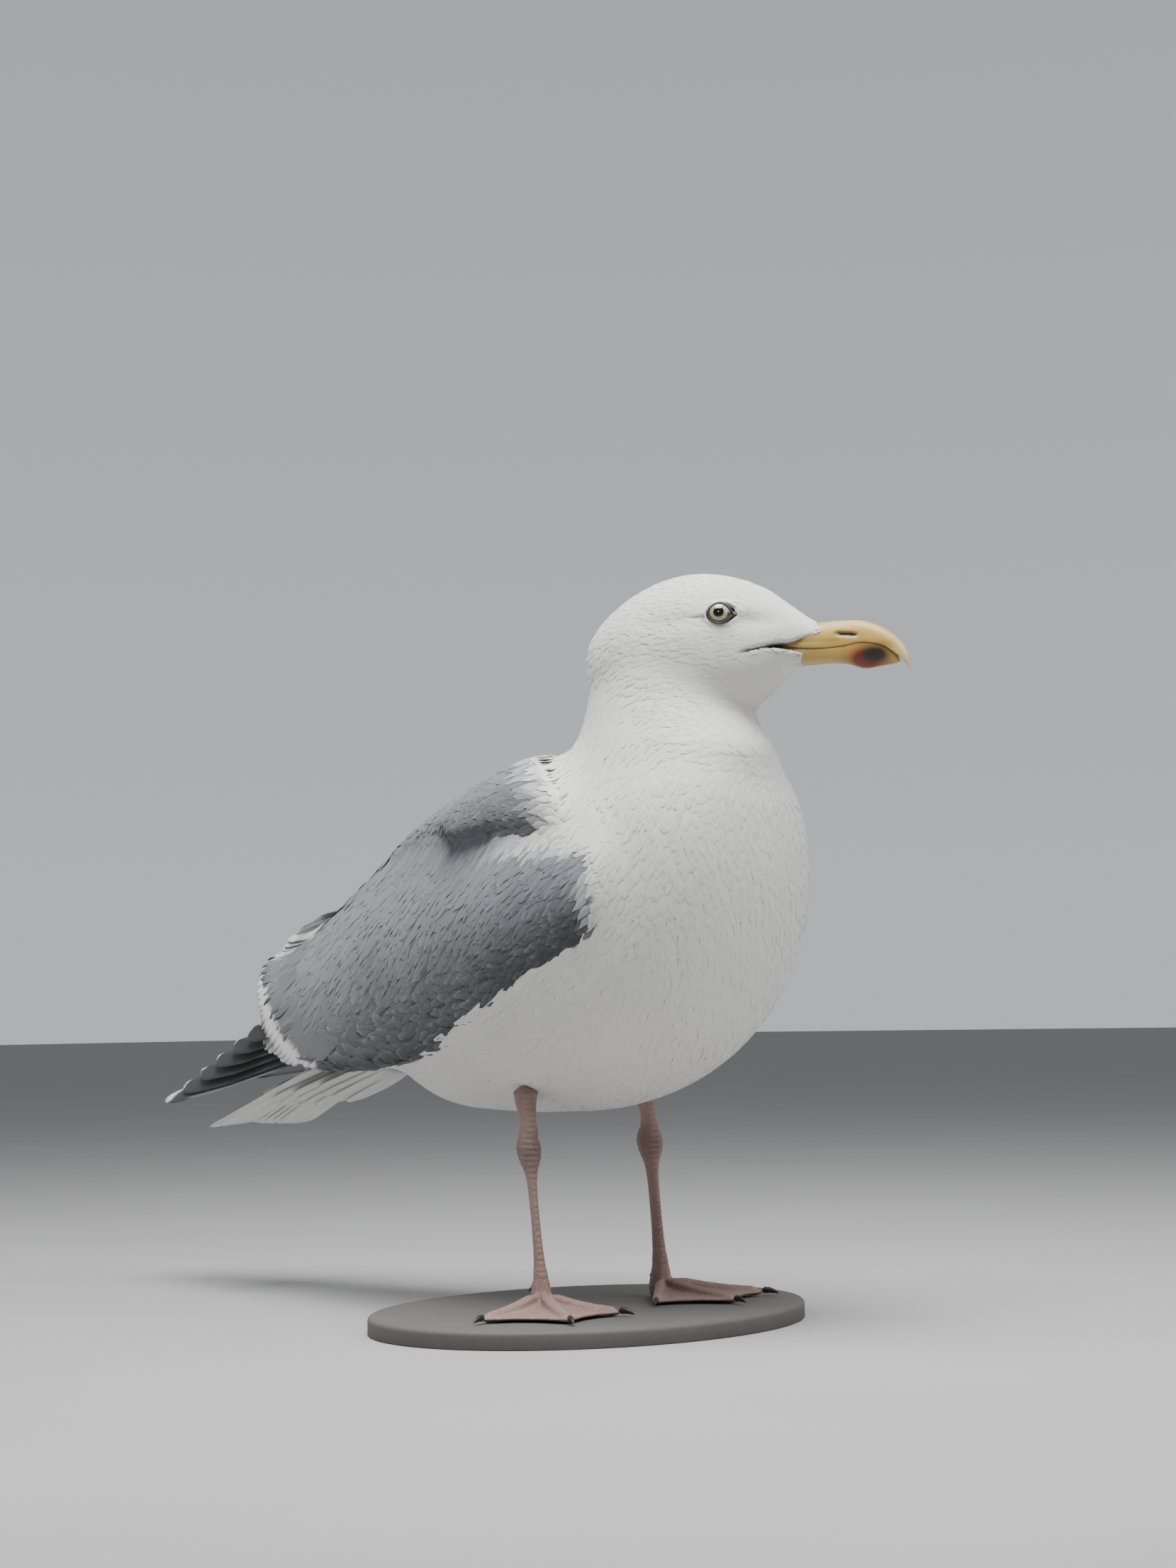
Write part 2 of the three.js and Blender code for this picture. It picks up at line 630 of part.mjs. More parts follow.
function webShape(first, second) {
  const surface = (offset) => (u, v) => {
    const reach = WEB.start + (1 - WEB.start) * u;
    const middle = Math.sin(Math.PI * v);
    const length = THREE.MathUtils.lerp(first.length, second.length, v) * (1 - WEB.dip * middle);
    const turn = THREE.MathUtils.degToRad(THREE.MathUtils.lerp(first.turn, second.turn, v));
    const radius = length * reach * WEB.reach;
    const height = soleHeight(reach) + WEB.height - WEB.sag * middle * (1 - u);
    return new THREE.Vector3(radius * Math.cos(turn), radius * Math.sin(turn), height + offset);
  };
  return slab(surface(WEB.thick / 2), surface(-WEB.thick / 2), WEB.steps, WEB.across);
}

function toeTurned(geometry, toe) {
  return geometry.rotateZ(THREE.MathUtils.degToRad(toe.turn));
}

function clawShape(length, radius, height) {
  const path = [
    [-1.5, 0, height, radius, radius * 0.8],
    [0, 0, height + 0.2, radius, radius * 0.85],
    [length * 0.35, 0, height + 0.2, radius * 0.9, radius * 0.75],
    [length * 0.7, 0, height - 0.5, radius * 0.6, radius * 0.5],
    [length, 0, height - 1.6, 0.25, 0.25],
  ];
  return limb(path, 6, 4, false);
}

function hindToe() {
  const path = [
    [0, 0, HIND.root, 2.6, 2.6],
    [3, 0, HIND.root, 2.6, 2.4],
    [6.5, 0, HIND.root - 1.2, HIND.radius, HIND.radius],
    [HIND.length, 0, HIND.root - 2.6, 1.5, 1.5],
  ];
  return limb(path, 6, 4, false).rotateZ(THREE.MathUtils.degToRad(HIND.turn));
}

function footPieces() {
  const claws = {};
  for (const toe of TOES) {
    const claw = clawShape(CLAW.length, CLAW.radius, CLAW.height);
    claws[toe.name] = toeTurned(claw.translate(toe.length - CLAW.overlap, 0, 0), toe);
  }
  claws.hind = clawShape(CLAW.length * HIND.claw, HIND.clawRadius, HIND.root - HIND.clawDrop)
    .translate(HIND.length - 1, 0, 0)
    .rotateZ(THREE.MathUtils.degToRad(HIND.turn));
  const toes = TOES.map((toe) => toeTurned(limb(toePath(toe), TOE_ROUND, 5, false), toe));
  const pad = [
    [0, 0, -1, 4, 3.6],
    [-0.4, 0, 0.4, 6, 4.6],
    [-0.6, 0, 5, 6.6, 5.2],
    [-0.4, 0, 10, 5.4, 4.6],
    [-0.4, 0, 14, 4.8, 4],
    [-0.4, 0, 20, 4.4, 3.4],
  ];
  const webs = [webShape(TOES[0], TOES[1]), webShape(TOES[1], TOES[2])];
  const whole = join([...toes, ...webs, hindToe(), limb(pad, 8, 5)]);
  const cut = whole
    .subtract(halfSpace(0, 0, 0, 0))
    .intersect(halfSpace(0, TARSUS_FOOT - CUT, 0, 0));
  return { foot: clearOf(cut, Object.values(claws)), claws };
}

// Tarsus and ankle, from the foot up to the joint, narrow from side to side.
function tarsusShape(base, ankle) {
  const rise = ANKLE_HEIGHT - TARSUS_FOOT;
  const station = (height, fore, side) => {
    const { x, y } = base.clone().lerp(ankle, (height - TARSUS_FOOT) / rise);
    return [x, y, height, fore, side];
  };
  return limb(
    [
      station(TARSUS_FOOT - 4, 4.4, 3.6),
      station(TARSUS_FOOT + 1, 4.8, 3.6),
      station(TARSUS_FOOT + 7, 4.1, 2.7),
      station(TARSUS_FOOT + 20, 3.6, 2.1),
      station(TARSUS_FOOT + 38, 3.7, 2.1),
      station(ANKLE_HEIGHT - 11, 4.4, 2.9),
      station(ANKLE_HEIGHT - 5, 6.2, 5.1),
      station(ANKLE_HEIGHT, 7.1, 6.1),
      station(ANKLE_HEIGHT + 4, 6.4, 5.2),
      station(ANKLE_HEIGHT + 9, 4.8, 3.4),
    ],
    8,
    14,
  );
}

// ---------------------------------------------------------------- assembly

const gull = new THREE.Group();

function addPiece(parent, name, geometry, finish) {
  const inverse = parent.matrixWorld.clone().invert();
  const mesh = new THREE.Mesh(geometry.clone().applyMatrix4(inverse), finish);
  mesh.name = name;
  parent.add(mesh);
  return mesh;
}

const headGroup = new THREE.Group();
headGroup.position.copy(HEAD_PLACE);
headGroup.rotation.z = HEAD_TURN;
gull.add(headGroup);
gull.updateMatrixWorld(true);

// Flesh: one closed body, parted at the throat and at the foot of the neck.
const tailPieces = tailShapes();
const flesh = join([trunkShape, neckShape, headShape]);
const belowThroat = halfSpace(THROAT.x, THROAT.z, THROAT.tilt, 0);
const belowNeck = halfSpace(NECK_FOOT.x, NECK_FOOT.z, NECK_FOOT.tilt, 0);
const head = flesh.subtract(halfSpace(THROAT.x, THROAT.z, THROAT.tilt, CUT));
const aboveNeckFoot = halfSpace(NECK_FOOT.x, NECK_FOOT.z, NECK_FOOT.tilt, CUT);
const neck = flesh.intersect(belowThroat).subtract(aboveNeckFoot);
const trunkWhole = flesh.intersect(belowNeck);
const headParts = [upperBillShape, lowerBillShape, eyeShapes.left, eyeShapes.right];
addPiece(headGroup, "head", toGeometry(clearOf(head, headParts)), WHITE);
addPiece(gull, "neck", toGeometry(neck), WHITE);
const tailSpace = tailRoom();
const trunk = toGeometry(clearOf(trunkWhole, [tailSpace], 0));
addPiece(gull, "trunk", trunk, WHITE);
addPiece(gull, "tail", toGeometry(join(tailPieces)), WHITE);

addPiece(headGroup, "bill_upper", upperBillShape, BILL);
addPiece(headGroup, "bill_lower", toGeometry(clearOf(toSolid(lowerBillShape), [upperBillShape])), BILL);
addPiece(headGroup, "eye_left", eyeShapes.left, IRIS);
addPiece(headGroup, "eye_right", eyeShapes.right, IRIS);

// Wings lie on the trunk, and the mantle over both.
const bodyShapes = [trunkShape, neckShape];
const wingShapes = { left: wingShape(), right: mirrored(wingShape()) };
const primaryBlades = {
  left: primariesShape(1, PRIMARIES.left),
  right: primariesShape(-1, PRIMARIES.right),
};
const bladeRooms = [primariesRoom(1, PRIMARIES.left), primariesRoom(-1, PRIMARIES.right)];
for (const side of ["left", "right"]) {
  const other = side === "left" ? [] : primaryBlades.left;
  const blades = clearOf(join(primaryBlades[side]), [trunkShape, tailSpace, ...other]);
  addPiece(gull, `primaries_${side}`, toGeometry(blades), BLACK);
  const wing = clearOf(toSolid(wingShapes[side]), bodyShapes);
  addPiece(gull, `wing_${side}`, toGeometry(clearOf(wing, [tailSpace, ...bladeRooms], 0)), GREY);
}
const mantle = clearOf(toSolid(mantleShape()), [...bodyShapes, ...Object.values(wingShapes)]);
addPiece(gull, "mantle", toGeometry(mantle), GREY);

// Legs.
for (const [side, leg] of Object.entries(LEGS)) {
  const group = new THREE.Group();
  group.position.set(leg.foot[0], leg.foot[1], 0);
  group.rotation.z = THREE.MathUtils.degToRad(leg.heading);
  gull.add(group);
  gull.updateMatrixWorld(true);
  const { foot, claws } = footPieces();
  const flip = (geometry) => (side === "left" ? geometry : mirrored(geometry));
  const placed = (geometry) => flip(geometry).clone().applyMatrix4(group.matrixWorld);
  addPiece(group, `foot_${side}`, placed(toGeometry(foot)), LEG);
  for (const [toe, claw] of Object.entries(claws)) {
    addPiece(group, `claw_${side}_${toe}`, placed(claw), HORN);
  }
  const toLocal = (x, y) => new THREE.Vector3(x, y, 0).applyMatrix4(group.matrixWorld.clone().invert());
  const ankle = toLocal(...leg.ankle);
  const local = tarsusShape(new THREE.Vector3(-0.4, 0, 0), ankle);
  const tarsusWhole = local.applyMatrix4(group.matrixWorld);
  const tarsus = toSolid(tarsusWhole)
    .subtract(halfSpace(0, TARSUS_FOOT, 0, 0))
    .intersect(halfSpace(0, SHANK_START, 0, 0));
  addPiece(group, `tarsus_${side}`, toGeometry(tarsus), LEG);
  const shank = limb(
    [
      [leg.ankle[0], leg.ankle[1], ANKLE_HEIGHT + 1, 5, 4.4],
      [leg.ankle[0], leg.ankle[1], ANKLE_HEIGHT + 7, 5.3, 4.2],
      [leg.ankle[0] - 0.5, leg.ankle[1], ANKLE_HEIGHT + 13, 4.4, 3.3],
      [leg.thigh[0], leg.thigh[1], THIGH_HEIGHT - 8, 6, 5],
      [leg.thigh[0], leg.thigh[1], THIGH_HEIGHT, 7, 6],
    ],
    8,
    6,
  );
  const shankCut = toSolid(shank).subtract(halfSpace(0, SHANK_START + CUT, 0, 0));
  addPiece(group, `shank_${side}`, toGeometry(clearOf(shankCut, [trunkShape])), LEG);
}

// The plate lies just under the soles, with a chamfered rim.
const plate = new THREE.LatheGeometry(
  [
    new THREE.Vector2(0, -STAND.thick),
    new THREE.Vector2(1, -STAND.thick),
    new THREE.Vector2(1, -STAND.edge),
    new THREE.Vector2(1 - STAND.edge / STAND.halfY, 0),
    new THREE.Vector2(0, 0),
  ],
  STAND.sides,
)
  .rotateX(Math.PI / 2)
  .scale(STAND.halfX, STAND.halfY, 1)
  .translate(STAND.x, STAND.y, -STAND.gap);
addPiece(gull, "stand_base", mergeVertices(bare(plate), MERGE), PLATE);

// The frame's origin lies on the floor, at the middle of the whole bird's box.
gull.updateMatrixWorld(true);
const box = new THREE.Box3().setFromObject(gull, true);
for (const child of gull.children) {
  child.position.x -= (box.min.x + box.max.x) / 2;
  child.position.y -= (box.min.y + box.max.y) / 2;
  child.position.z -= box.min.z;
}

export default gull;
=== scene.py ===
# A standing adult European herring gull, Larus argentatus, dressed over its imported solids:
# one skin under the feathers, small feathers as mesh vanes in pieces by region, long feathers of wing and
# tail, bill, eyes, bare legs and a plain oval base. Shapes are worked out in millimetres in the bird's own
# frame, whose origin lies between the feet at the height of the soles, and are built in metres.
from functools import partial

import bmesh
import bpy
import numpy as np
from mathutils import Matrix, Vector
from mathutils.bvhtree import BVHTree
from mathutils.kdtree import KDTree


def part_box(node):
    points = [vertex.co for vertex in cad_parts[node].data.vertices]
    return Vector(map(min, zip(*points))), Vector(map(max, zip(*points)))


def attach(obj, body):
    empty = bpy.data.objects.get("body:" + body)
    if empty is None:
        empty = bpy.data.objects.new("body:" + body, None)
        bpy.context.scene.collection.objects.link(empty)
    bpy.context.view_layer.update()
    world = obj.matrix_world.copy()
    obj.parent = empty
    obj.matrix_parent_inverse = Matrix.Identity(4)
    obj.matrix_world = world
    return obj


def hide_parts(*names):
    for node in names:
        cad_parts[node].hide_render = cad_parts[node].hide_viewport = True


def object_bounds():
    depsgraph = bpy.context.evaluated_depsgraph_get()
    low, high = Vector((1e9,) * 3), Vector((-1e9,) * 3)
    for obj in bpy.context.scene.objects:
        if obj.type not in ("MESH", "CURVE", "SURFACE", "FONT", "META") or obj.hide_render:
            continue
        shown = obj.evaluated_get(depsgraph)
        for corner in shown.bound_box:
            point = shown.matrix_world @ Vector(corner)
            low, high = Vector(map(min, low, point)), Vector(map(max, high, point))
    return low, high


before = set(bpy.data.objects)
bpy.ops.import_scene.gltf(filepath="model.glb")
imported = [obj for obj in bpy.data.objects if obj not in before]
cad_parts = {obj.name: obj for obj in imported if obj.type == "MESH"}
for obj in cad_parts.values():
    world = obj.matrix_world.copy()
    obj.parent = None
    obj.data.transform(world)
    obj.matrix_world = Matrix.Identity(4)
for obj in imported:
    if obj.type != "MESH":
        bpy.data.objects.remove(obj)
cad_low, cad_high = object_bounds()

MM = 0.001
rng = np.random.default_rng(20)

# ------------------------------------------------------------------ driving dimensions, in millimetres

PLATE = {"x": -2, "y": -9, "half_x": 88, "half_y": 112, "top": -0.2, "bottom": -8.2, "edge": 2}
HEAD_PLACE = np.array([57.0, 3.0, 298.0])
HEAD_TURN = np.radians(15)
VOXEL = 1.8
# How deep the skin lies under the feathers' outline, and how deep the inner sides of mantle and wings lie.
COAT = {"trunk": 0.45, "neck": 0.45, "head": 0.45, "mantle": 0.5, "wing": 0.6}
INNER_SIDE = {"mantle": 9.0, "wing": 22.0}

# Cross-sections: x, top, bottom, half width, height of the widest place.
TRUNK = [
    (104, 204, 204, 0, 204), (101.5, 229, 179, 25, 203), (93, 252, 151, 43, 199), (74, 264, 122, 59, 187),
    (46, 267, 102, 67, 174), (12, 263, 91, 70, 164), (-25, 253, 88, 67, 157), (-60, 239, 88, 59, 150),
    (-92, 220, 91, 50, 143), (-120, 193, 103, 40, 138), (-150, 164, 108, 31, 133), (-180, 140, 106, 24, 123),
    (-204, 120, 102, 16, 111), (-211, 110, 110, 0, 110),
]
# Level sections of the neck: z, x, fore-and-aft radius, half width, y.
NECK = [
    (214, 44, 0, 0, 0), (218, 46, 38, 38, 0), (238, 50, 47, 46, 0), (250, 50, 49.5, 44, 0),
    (262, 47, 46, 39, 0.5), (276, 44, 40, 35, 1.5), (290, 44, 36.5, 32, 2), (304, 46, 29, 27, 2.5),
    (314, 47, 17, 17, 2.5), (317, 47, 0, 0, 2.5),
]
HEAD = [
    (-49.5, -4, -4, 0, -4), (-47.5, 6, -14, 13, -3.5), (-41.5, 17, -25, 22, -3), (-27, 28.4, -33, 28, -2.5),
    (-9, 35.6, -36, 29.5, -2), (9, 36.9, -34, 28.5, -1.5), (25, 33.8, -30, 25, -1), (39, 28, -22.3, 19.5, 0),
    (50, 20.4, -13.6, 13.6, 1), (59, 13.9, -10.2, 9.4, 1.5), (67, 8.8, -3, 7, 2.5), (73, 3.6, 3.4, 0, 3.5),
]
UPPER_BILL = [
    (44, 1.6, 1.4, 0, 1.5), (46, 6, -0.6, 5.5, 0.6), (60, 8.6, -3.2, 7.4, -2.2), (71, 8.8, -3.9, 6.6, -3),
    (80, 8.6, -3.6, 5.7, -2.7), (88.5, 7.6, -2.6, 5.0, -1.8), (97.5, 3.6, -4.6, 4.0, -3.8),
    (103.8, -1.6, -9, 2.9, -7.8), (107.8, -7.4, -13, 1.8, -11.6), (109.4, -14.6, -15, 0, -14.8),
]
LOWER_BILL = [
    (44, -3.6, -4.4, 0, -4), (46, 0.4, -8, 5, -1.6), (58, -1.6, -9.7, 6.8, -3.6), (71, -2.2, -9.8, 6.1, -4.4),
    (79.5, -2, -10.9, 5.3, -4.2), (87.5, -0.9, -13.4, 4.6, -3.2), (95.5, -2, -12.9, 3.7, -4.6),
    (101.5, -5.6, -12.4, 2.4, -8.4), (104.6, -11.1, -11.7, 0, -11.4),
]
# The mantle's arch: x, ridge, edge, half width.
MANTLE_ARCH = [
    (46, 266, 210, 65), (10, 265, 209, 68), (-28, 258.5, 208, 65), (-60, 250, 205, 54), (-96, 241, 199, 38),
    (-130, 228, 191, 28), (-162, 211, 181, 19),
]
# The wing's edges: x, y and z below, y and z above, bulge between them.
WING = [
    (67, 67, 196, 67, 198, 0), (61, 70, 176, 63, 211, 4), (38, 72, 159, 61, 219, 7),
    (4, 70, 141, 58, 222, 10), (-32, 64, 126, 45, 229, 12), (-72, 55, 114, 30, 227, 13),
    (-112, 48, 110, 13, 224, 12), (-150, 42, 109, 4, 215, 9), (-186, 36, 115, 2, 193, 6),
    (-216, 29, 134, 2, 177, 4), (-238, 17, 157, 5, 169, 1), (-244, 10, 163, 10, 165, 0),
]
EYE = {"place": (26, 19.4, 13.7), "radius": 6.0, "iris": 4.35, "pupil": 2.3, "axis": (0.34, 0.93, 0.1)}
LIDS = {"rear_length": 5.0, "front_length": 6.4, "half_height": 4.1}
# The stacks of primaries, whose feathers end a little inside the given tips.
PRIMARIES = {
    "width": 22, "roll": 0.55, "rise": 3.2, "inside": 2.4,
    "right": {"root": (-150, -33, 120), "tip": (-334, -6, 93), "count": 6, "shorten": 20, "tip_rise": 4.6},
    "left": {"root": (-150, 33, 124), "tip": (-320, 14, 106), "count": 6, "shorten": 15, "tip_rise": 4.8},
}
# The line of the white tips of the tertials and secondaries, seen from the side: x and z.
FRINGE = {
    "tips": [(-229, 177), (-237, 169), (-238, 160), (-235, 150), (-232, 140), (-229, 130), (-225, 121),
             (-214, 115), (-200, 113.5), (-185, 112), (-171, 110)],
    "count": 27, "length": 48, "width": 13.5, "roll": 0.09,
}
TAIL = {
    "pairs": 6, "root": (-176, 0, 119), "length": 101, "slope": np.radians(23), "fan": np.radians(8),
    "root_spread": 15, "width": 20.5, "fall": 0.5,
}
# Rows of coverts under the tail: x and z of the roots, how far back and down the tips lie.
COVERTS = {
    "rows": [(-178, 106, 50, 18), (-162, 106, 48, 17), (-144, 107, 44, 16)],
    "half": 21, "across": 9, "width": 13,
}
CAMERA = {
    "distance": 1250, "height": 131, "aside": 5.17, "azimuth": np.radians(45), "pitch": np.radians(5.09),
    "roll": np.radians(0.86), "sensor": 36, "lens": 61.03,
}

WHITE = np.array([0.80, 0.795, 0.775])
GREY = np.array([0.215, 0.232, 0.252])
PALE_GREY = np.array([0.38, 0.40, 0.42])
BILL_YELLOW = np.array([0.55, 0.36, 0.085])
PINK = np.array([0.36, 0.235, 0.205])
DARK_LEG = np.array([0.13, 0.09, 0.08])
LID_DARK, LID_RIM = np.array([0.016, 0.011, 0.009]), np.array([0.05, 0.028, 0.018])
BLACK = np.array([0.012, 0.012, 0.014])
CLAW_TINT = np.array([0.02, 0.016, 0.014])
PATCH = 0.003  # a small feather's own patch in the map of the coat
SIZE_RANGE = (0.85, 1.15)  # how small feathers of one place differ in length and width
# Places tried for each small feather kept, and the least gap between two as a share of their spacing.
TRIES, LEAST_GAP = 4.0, 0.8

plate_low, plate_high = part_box("stand_base")
BIRD = np.array([
    (plate_low.x + plate_high.x) / 2 - PLATE["x"] * MM,
    (plate_low.y + plate_high.y) / 2 - PLATE["y"] * MM,
    plate_low.z - PLATE["bottom"] * MM,
])

# ------------------------------------------------------------------ small helpers


def unit(v):
    return v / np.maximum(np.linalg.norm(v, axis=-1, keepdims=True), 1e-9)


def dot(a, b):
    return (a * b).sum(-1, keepdims=True)


def smooth_step(value, low, high):
    t = np.clip((value - low) / (high - low), 0, 1)
    return t * t * (3 - 2 * t)


def bell(value, middle, reach):
    """1 at the middle, less on both sides of it."""
    return np.exp(-(((value - middle) / reach) ** 2))


def catmull(table, t):
    """Rows of the table read at t in 0..1, on a smooth curve through them all."""
    rows = np.asarray(table, float)
    rows = np.vstack([2 * rows[0] - rows[1], rows, 2 * rows[-1] - rows[-2]])
    place = np.clip(np.asarray(t, float), 0, 1) * (len(rows) - 3)
    first = np.minimum(place.astype(int), len(rows) - 4)
    w = (place - first)[..., None]
    a, b, c, d = (rows[first + k] for k in range(4))
    return 0.5 * (2 * b + (c - a) * w + (2 * a - 5 * b + 4 * c - d) * w**2 + (3 * b - a - 3 * c + d) * w**3)


def head_to_bird(points):
    c, s = np.cos(HEAD_TURN), np.sin(HEAD_TURN)
    x, y, z = np.moveaxis(np.asarray(points, float), -1, 0)
    return np.stack([c * x - s * y, s * x + c * y, z], -1) + HEAD_PLACE


def bird_to_head(points):
    c, s = np.cos(HEAD_TURN), np.sin(HEAD_TURN)
    x, y, z = np.moveaxis(np.asarray(points, float) - HEAD_PLACE, -1, 0)
    return np.stack([c * x + s * y, c * y - s * x, z], -1)


def head_direction(v):
    return head_to_bird(np.asarray(v, float)) - HEAD_PLACE


def put_in_scene(name, data):
    thing = bpy.data.objects.new(name, data)
    bpy.context.scene.collection.objects.link(thing)
    return thing


def make_mesh(name, points, faces):
    """An object from points in the bird's frame and faces of four corners.
    A face whose last corner repeats has three."""
    corners = np.asarray(faces)
    used = np.ones(corners.shape, bool)
    used[:, -1] = corners[:, -1] != corners[:, -2]
    sizes = used.sum(1)
    starts = np.concatenate([[0], np.cumsum(sizes)[:-1]])
    corners = corners[used]
    mesh = bpy.data.meshes.new(name)
    place = points * MM + BIRD
    mesh.vertices.add(len(place))
    mesh.vertices.foreach_set("co", place.astype(np.float32).ravel())
    mesh.loops.add(corners.size)
    mesh.loops.foreach_set("vertex_index", corners.astype(np.int32))
    mesh.polygons.add(len(sizes))
    mesh.polygons.foreach_set("loop_start", starts.astype(np.int32))
    mesh.update(calc_edges=True)
    mesh.shade_smooth()
    return put_in_scene(name, mesh)


def paint(thing, name, values):
    """A colour for each point, which the materials read."""
    colours = np.ones((len(values), 4), np.float32)
    colours[:, :3] = values
    thing.data.attributes.new(name, "FLOAT_COLOR", "POINT").data.foreach_set("color", colours.ravel())


def tag(thing, name, values):
    """A vector for each point, which the materials read."""
    flat = np.asarray(values, np.float32).ravel()
    thing.data.attributes.new(name, "FLOAT_VECTOR", "POINT").data.foreach_set("vector", flat)


def finish_piece(thing, material, slot, *nodes):
    thing.data.materials.clear()
    thing.data.materials.append(material)
    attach(thing, "root")
    if nodes:
        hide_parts(*nodes)
    return thing


def grid_faces(rows, columns, wrap=False, start=0):
    """Four-cornered faces of a grid of rows by columns of points; wrap joins the last column to the first."""
    i = np.arange(rows - 1)[:, None]
    j = np.arange(columns if wrap else columns - 1)[None, :]
    following = (j + 1) % columns
    corners = [i * columns + j, (i + 1) * columns + j, (i + 1) * columns + following, i * columns + following]
    return np.stack([np.broadcast_to(c, (rows - 1, j.shape[1])) for c in corners], -1).reshape(-1, 4) + start


def closed_tube(grid):
    """A tube of rings closed at both ends, as points and faces."""
    rings, around, _ = grid.shape
    ends = np.stack([grid[0].mean(0), grid[-1].mean(0)])
    points = np.vstack([grid.reshape(-1, 3), ends])
    faces = [grid_faces(rings, around, wrap=True)]
    k = np.arange(around)
    following = (k + 1) % around
    first, last = rings * around, rings * around + 1
    top = (rings - 1) * around
    faces.append(np.stack([np.full(around, first), k, following, following], -1))
    faces.append(np.stack([np.full(around, last), top + following, top + k, top + k], -1))
    return points, np.vstack(faces)


def closed_slab(outer, inner):
    """A slab between two grids of points, as points and faces."""
    rows, columns, _ = outer.shape
    sheet = rows * columns
    points = np.vstack([outer.reshape(-1, 3), inner.reshape(-1, 3)])
    faces = [grid_faces(rows, columns), grid_faces(rows, columns, start=sheet)[:, ::-1]]
    index = np.arange(sheet).reshape(rows, columns)
    for line in (index[:, 0], index[:, -1], index[0], index[-1]):
        faces.append(np.stack([line[:-1], line[1:], line[1:] + sheet, line[:-1] + sheet], -1))
    return points, np.vstack(faces)


def face_lists(faces):
    """Faces for Blender's tools, with a repeated last corner dropped."""
    return [list(f[:3]) if f[2] == f[3] else list(f) for f in faces.tolist()]


def surface_of(points, faces):
    return BVHTree.FromPolygons(points.tolist(), face_lists(faces))


# ------------------------------------------------------------------ body surfaces, in the bird's frame


def upright_rings(table, rings, around, square=1.0, inset=0.0, shorten=0.0):
    """Rings across the body or bill from its table of sections; below 1, square makes them squarer."""
    s = catmull(table, np.linspace(0, 1, rings))
    x, top, bottom, half, middle = (column[:, None] for column in s.T)
    angle = np.linspace(0, 2 * np.pi, around, endpoint=False)[None, :]
    across = np.sign(np.cos(angle)) * np.abs(np.cos(angle)) ** square
    along = np.sign(np.sin(angle)) * np.abs(np.sin(angle)) ** square
    reach = np.where(along > 0, top - middle, middle - bottom)
    y = np.maximum(half - inset, 0) * across
    z = middle + np.maximum(reach - inset, 0) * along
    x = np.where(x > 0, x * (1 - shorten), x)
    return np.stack([np.broadcast_to(x, y.shape), y, z], -1)


def neck_rings(rings, around, inset):
    """Level rings up the neck."""
    s = catmull(NECK, np.linspace(0, 1, rings))
    z, x, fore, half, y = (column[:, None] for column in s.T)
    angle = np.linspace(0, 2 * np.pi, around, endpoint=False)[None, :]
    px = x + np.maximum(fore - inset, 0) * np.cos(angle)
    py = y + np.maximum(half - inset, 0) * np.sin(angle)
    return np.stack([px, py, np.broadcast_to(z, px.shape)], -1)


def edge_share(t, parts):
    """0 at both ends of 0..1, and 1 from a share of 1 / parts inside them."""
    return np.sqrt(np.clip(np.minimum(parts * t, parts * (1 - t)), 0, 1))


def mantle_surface(u, v, inset):
    """A point of the mantle: u runs from front to rear, v from edge to edge."""
    angle = np.pi * (0.045 + 0.91 * v)
    side = np.cos(angle)
    x = (-22 + 66 * side**2) * (1 - u) + (-158 + 112 * side**2) * u
    first, last = MANTLE_ARCH[0][0], MANTLE_ARCH[-1][0]
    _, ridge, edge, half = np.moveaxis(catmull(MANTLE_ARCH, (first - x) / (first - last)), -1, 0)
    depth = inset * (0.12 + 0.88 * edge_share(u, 6) * edge_share(v, 7))
    return np.stack([x, (half - depth) * side, edge + (ridge - edge - depth) * np.sin(angle) ** 0.9], -1)


def wing_surface(side, u, v, inset):
    """A point of the folded wing: u runs from the bend to the tips, v from the lower to the upper edge."""
    x, y_low, z_low, y_top, z_top, bulge = np.moveaxis(catmull(WING, u), -1, 0)
    rise = unit(np.stack([y_top - y_low, z_top - z_low], -1))
    edge = edge_share(u, 5) * edge_share(v, 4)
    lift = bulge * np.sin(np.pi * np.clip(v, 0, 1)) ** 0.8 - inset * (0.14 + 0.86 * edge)
    y = y_low + (y_top - y_low) * v + rise[..., 1] * lift
    z = z_low + (z_top - z_low) * v - rise[..., 0] * lift
    return np.stack([x, side * np.maximum(y, 0.3), z], -1)


def unit_grid(rows, columns):
    return np.meshgrid(np.linspace(0, 1, rows), np.linspace(0, 1, columns), indexing="ij")


wing_rows = catmull(WING, np.linspace(0, 1, 400))


def wing_edges(x):
    """Heights of a folded wing's lower and upper edge at places along the bird."""
    return [np.interp(-x, -wing_rows[:, 0], wing_rows[:, k]) for k in (2, 4)]


def wing_length_share(x):
    """u of a folded wing at places along the bird."""
    return np.interp(-x, -wing_rows[:, 0], np.linspace(0, 1, len(wing_rows)))


def mantle_half(x):
    """Half width of the mantle at places along the bird."""
    first, last = MANTLE_ARCH[0][0], MANTLE_ARCH[-1][0]
    return catmull(MANTLE_ARCH, (first - x) / (first - last))[:, 3]


REGIONS = ["trunk", "neck", "head", "mantle", "wing_left", "wing_right"]
MANTLE_GRID = unit_grid(70, 90)
WING_GRID = unit_grid(110, 50)

